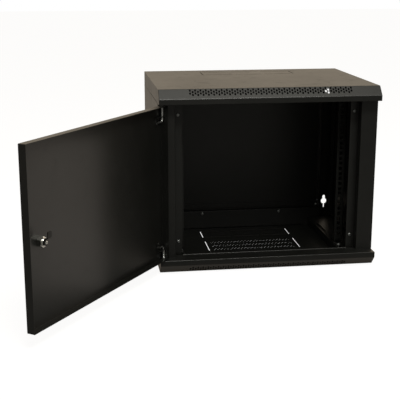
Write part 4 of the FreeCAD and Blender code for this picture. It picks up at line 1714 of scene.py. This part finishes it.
@dataclass
class Lock:
    """The cam lock of the door: its housing, deep nut, turning core and cranked cam.

    Attributes:
        swing: The door's hinge.
        door: The door that it is clamped to.
        flange: Radius and height of the outer flange.
        barrel: Radius of the housing behind it.
        length: From the door's face to the housing's end.
        thread: Pitch and depth of the thread.
        nut: The deep nut.
        core: Radius of the core.
        keyway: Width, height and depth of the keyway.
        cam: Width, length and thickness of the cam.
        hub: From the middle of the cam's hub to its round end.
        crank: How far the cam is cranked.
        slant: Rise of the crank along the cam.
    """

    swing: Swing
    door: DoorTray
    flange: Pair = (0.014, 0.0025)
    barrel: float = 0.0095
    length: float = 0.0167
    thread: Pair = (0.001, 0.0005)
    nut: NutKind = NutKind(0.013, 0.0126, 0.0095)
    core: float = 0.005
    keyway: Point = (0.0016, 0.007, 0.003)
    cam: Point = (0.014, 0.026, 0.002)
    hub: float = 0.0075
    crank: float = 0.0111
    slant: float = 0.0056

    def build(self, shop: Paintshop) -> None:
        """Make the lock on the closed door and swing it open."""
        place = self.door.lock
        inward = (0, 1, 0)
        skin = place + Vector((0, SKIN, 0))
        behind = place + Vector((0, self.length + 0.0003, 0))
        screw_seat = behind + Vector((0, self.cam[2], 0))
        pieces = (
            (self._barrel(), "lock_barrel", place, "door", 0.0),
            (self.nut.form(), "lock_nut", skin, "door", 0.0),
            (self._core(), "lock_core", place, "lock_cam", 0.0),
            (M5.form(), "cam_screw", screw_seat, "lock_cam", 0.4),
        )
        for made, node, seat, body, roll in pieces:
            obj = twin(made, node + "_turned", seated(seat, inward, roll))
            bpy.data.objects.remove(made)
            smooth(obj)
            shop.fit(self.swing.open(obj), CHROME, body, node)
        shop.fit(self.swing.open(self._cam(behind)), CAM_STEEL, "lock_cam", "lock_cam")

    def _barrel(self) -> Obj:
        """Turn the housing, with its thread showing past the nut."""
        r, h = self.flange
        pitch, depth = self.thread
        bore, start = self.core + 0.00005, SKIN + self.nut.height + 0.0003
        profile = [(bore, -h), (r * 0.74, -h), (r * 0.93, -h * 0.78), (r, -h * 0.45), (r, 0),
                   (self.barrel, 0)]
        level = start
        while level + pitch < self.length:
            profile += [(self.barrel, level), (self.barrel - depth, level + pitch / 2)]
            level += pitch
        profile += [(self.barrel, level), (self.barrel - depth, self.length),
                    (bore, self.length), (bore, -h)]
        return turned("barrel", profile, 40)

    def _core(self) -> Obj:
        """Turn the core and cut its keyway."""
        top, r = -self.flange[1], self.core
        end = self.length + 0.0003
        obj = turned("core", [(0, top), (r * 0.9, top), (r, top + r * 0.1), (r, end), (0, end)], 32)
        width, height, depth = self.keyway
        cut(obj, [block("keyway", (-width / 2, -height / 2, top - 0.001),
                        (width / 2, height / 2, top + depth))])
        return obj

    def _cam(self, behind: Vector) -> Obj:
        """Fold the cam, pointing up, and round its ends.

        Args:
            behind: The middle of the core's end, where the cam lies on it.

        Returns:
            The cam, on the closed door.
        """
        width, length, thick = self.cam
        y, z = behind.y, behind.z
        line = [(y, z - self.hub), (y, z + self.hub), (y + self.crank, z + self.hub + self.slant),
                (y + self.crank, z + length)]
        cam = FoldedSheet("lock_cam_cranked", Run.ALONG_X, line, behind.x - width / 2,
                          behind.x + width / 2, -thick).build()
        for at, offset in ((z - self.hub, width * 0.48), (z + length, width * 0.2)):
            round_edges(cam, lambda e: across(1)(e) and abs(e.verts[0].co.z - at) < 1e-5,
                        offset, 8)
        smooth(cam)
        return cam


# ---------------------------------------------------------------------------------------
# Studio
# ---------------------------------------------------------------------------------------


@dataclass(frozen=True)
class Lamp:
    """A rectangular lamp.

    Attributes:
        name: The lamp's name.
        place: Where it hangs.
        target: What it points at.
        size: Its width and height, in metres.
        power: Its power, in watts.
        colour: Colour of its light.
    """

    name: str
    place: Point
    target: Point
    size: Pair
    power: float
    colour: Point

    def hang(self) -> None:
        """Hang the lamp."""
        bpy.ops.object.light_add(type="AREA", location=self.place)
        lamp = named(self.name)
        lamp.data.shape = "RECTANGLE"
        lamp.data.size, lamp.data.size_y = self.size
        lamp.data.energy = self.power
        lamp.data.color = self.colour
        lamp.visible_camera = False
        way = Vector(self.target) - Vector(self.place)
        lamp.rotation_euler = way.to_track_quat("-Z", "Y").to_euler()


WHITE = (1.0, 1.0, 1.0)
LAMPS = (
    Lamp("Overhead", (0.0, -1.3, 3.2), (0.0, -0.2, 0.3), (2.6, 1.6), 20.0, (1.0, 1.0, 0.92)),
    Lamp("Front", (0.1, -2.2, 2.7), (0.0, -0.2, 0.2), (1.6, 0.6), 60.0, (1.0, 0.98, 0.92)),
    Lamp("Panel", (-0.30, -0.515, 0.20), (-1.27, -0.765, 0.20), (0.25, 0.40), 0.16,
         (1.0, 0.90, 0.80)),
)


@dataclass
class Studio:
    """The white floor, the lamps and the camera.

    Attributes:
        lens: Focal length of the camera, in millimetres.
        eye: Where the camera stands.
        turn: How far it is turned about X, Y and Z from looking straight down, in degrees.
        front: Colour of the world's light from the front.
        back: Colour of the world's light from the back.
        warm: Colour of the floor in mirrors.
    """

    lens: float = 81.69
    eye: Point = (-0.5246, -2.548, 0.8106)
    turn: Point = (75.567, 0.0, -8.13)
    front: Point = (0.28, 0.275, 0.25)
    back: Point = (0.74, 0.63, 0.49)
    warm: Point = (1.0, 0.86, 0.70)

    def build(self) -> None:
        """Set everything up."""
        self._floor()
        self._world()
        for lamp in LAMPS:
            lamp.hang()
        self._camera()
        bpy.context.scene.view_settings.view_transform = "Standard"

    def _floor(self) -> None:
        """Lay a floor that is white to the camera and keeps the object's shadow."""
        bpy.ops.mesh.primitive_plane_add(size=30, location=(0, 0, 0))
        floor = named("floor")
        material = bpy.data.materials.new("White floor")
        material.use_nodes = True
        tree = material.node_tree
        sheet = NodeSheet(tree)
        tree.nodes.remove(tree.nodes["Principled BSDF"])
        paper = sheet.add("ShaderNodeBsdfDiffuse")
        paper.inputs["Color"].default_value = (0.16, 0.16, 0.16, 1)
        glow = sheet.add("ShaderNodeEmission")
        path = sheet.add("ShaderNodeLightPath")
        sheet.link(self._mix(sheet, path.outputs["Is Camera Ray"], self.warm, WHITE),
                   glow.inputs["Color"])
        place = sheet.add("ShaderNodeSeparateXYZ")
        sheet.link(sheet.add("ShaderNodeTexCoord").outputs["Object"], place.inputs["Vector"])
        behind = sheet.maths("MAXIMUM", sheet.spread(place.outputs["Y"], -0.30, -0.24, 0.0, 0.20),
                             sheet.spread(place.outputs["Y"], 0.4, 1.2, 0.0, 0.35))
        mirrored = sheet.maths("MULTIPLY", behind, path.outputs["Is Glossy Ray"])
        seen = sheet.maths("MULTIPLY", self._seen(sheet, path), 0.9)
        sheet.link(sheet.maths("ADD", seen, mirrored), glow.inputs["Strength"])
        both = sheet.add("ShaderNodeAddShader")
        sheet.link(paper.outputs["BSDF"], both.inputs[0])
        sheet.link(glow.outputs["Emission"], both.inputs[1])
        sheet.link(both.outputs["Shader"], tree.nodes["Material Output"].inputs["Surface"])
        floor.data.materials.append(material)

    def _world(self) -> None:
        """Light from all round, dimmer from the front, and white to the camera."""
        world = bpy.data.worlds.new("Studio")
        bpy.context.scene.world = world
        world.use_nodes = True
        sheet = NodeSheet(world.node_tree)
        path = sheet.add("ShaderNodeLightPath")
        seen = self._seen(sheet, path)
        towards = sheet.add("ShaderNodeSeparateXYZ")
        sheet.link(sheet.add("ShaderNodeTexCoord").outputs["Generated"], towards.inputs["Vector"])
        depth = sheet.spread(towards.outputs["Y"], -0.5, 0.7)
        light = self._mix(sheet, depth, self.front, self.back)
        colour = self._mix(sheet, seen, self.front, WHITE)
        sheet.link(light, colour.node.inputs[6])
        sheet.link(colour, world.node_tree.nodes["Background"].inputs["Color"])

    def _seen(self, sheet: NodeSheet, path: bpy.types.Node) -> Socket:
        """Return 1 for what the camera sees, straight or through glass."""
        return sheet.maths("MAXIMUM", path.outputs["Is Camera Ray"],
                           path.outputs["Is Transmission Ray"])

    def _mix(self, sheet: NodeSheet, factor: Socket, first: Point,
             second: Point) -> Socket:
        """Add a mix of two colours and return its colour."""
        node = sheet.add("ShaderNodeMix", data_type="RGBA")
        node.inputs[6].default_value = (*first, 1)
        node.inputs[7].default_value = (*second, 1)
        sheet.link(factor, node.inputs[0])
        return node.outputs[2]

    def _camera(self) -> None:
        """Stand the camera where the cabinet is seen from."""
        bpy.ops.object.camera_add(location=self.eye, rotation=[math.radians(a) for a in self.turn])
        camera = named("Camera")
        camera.data.lens = self.lens
        camera.data.sensor_width = 36.0
        bpy.context.scene.camera = camera


def dress_panels(shop: Paintshop) -> None:
    """Give the side panels, flat sheets that stay as they are, their coat."""
    for node in ("side_panel_left", "side_panel_right"):
        shop.dress(bpy.data.objects[node], BLACK_COAT)


def main() -> None:
    """Build the cabinet's looks piece by piece and set the studio up round it."""
    logging.basicConfig(level=logging.INFO, format="%(name)s: %(message)s")
    shop = Paintshop()
    envelope, swing = Envelope.read(), Swing.read()
    Cover("bottom_cover", envelope, False).build(shop)
    Cover("top_cover", envelope, True).build(shop)
    posts, beams, rails = FrontPosts(envelope), BackBeams(envelope), Rails(envelope)
    for part in (posts, RearPosts(envelope), beams, BackPanel(envelope), DepthChannels(envelope),
                 rails):
        part.build(shop)
    Fasteners(envelope, posts, beams, rails).build(shop)
    door = DoorTray(envelope, swing)
    door.build(shop)
    Hinges(envelope, swing, door).build(shop)
    Lock(swing, door).build(shop)
    dress_panels(shop)
    Studio().build()


if __name__ == "__main__":
    main()
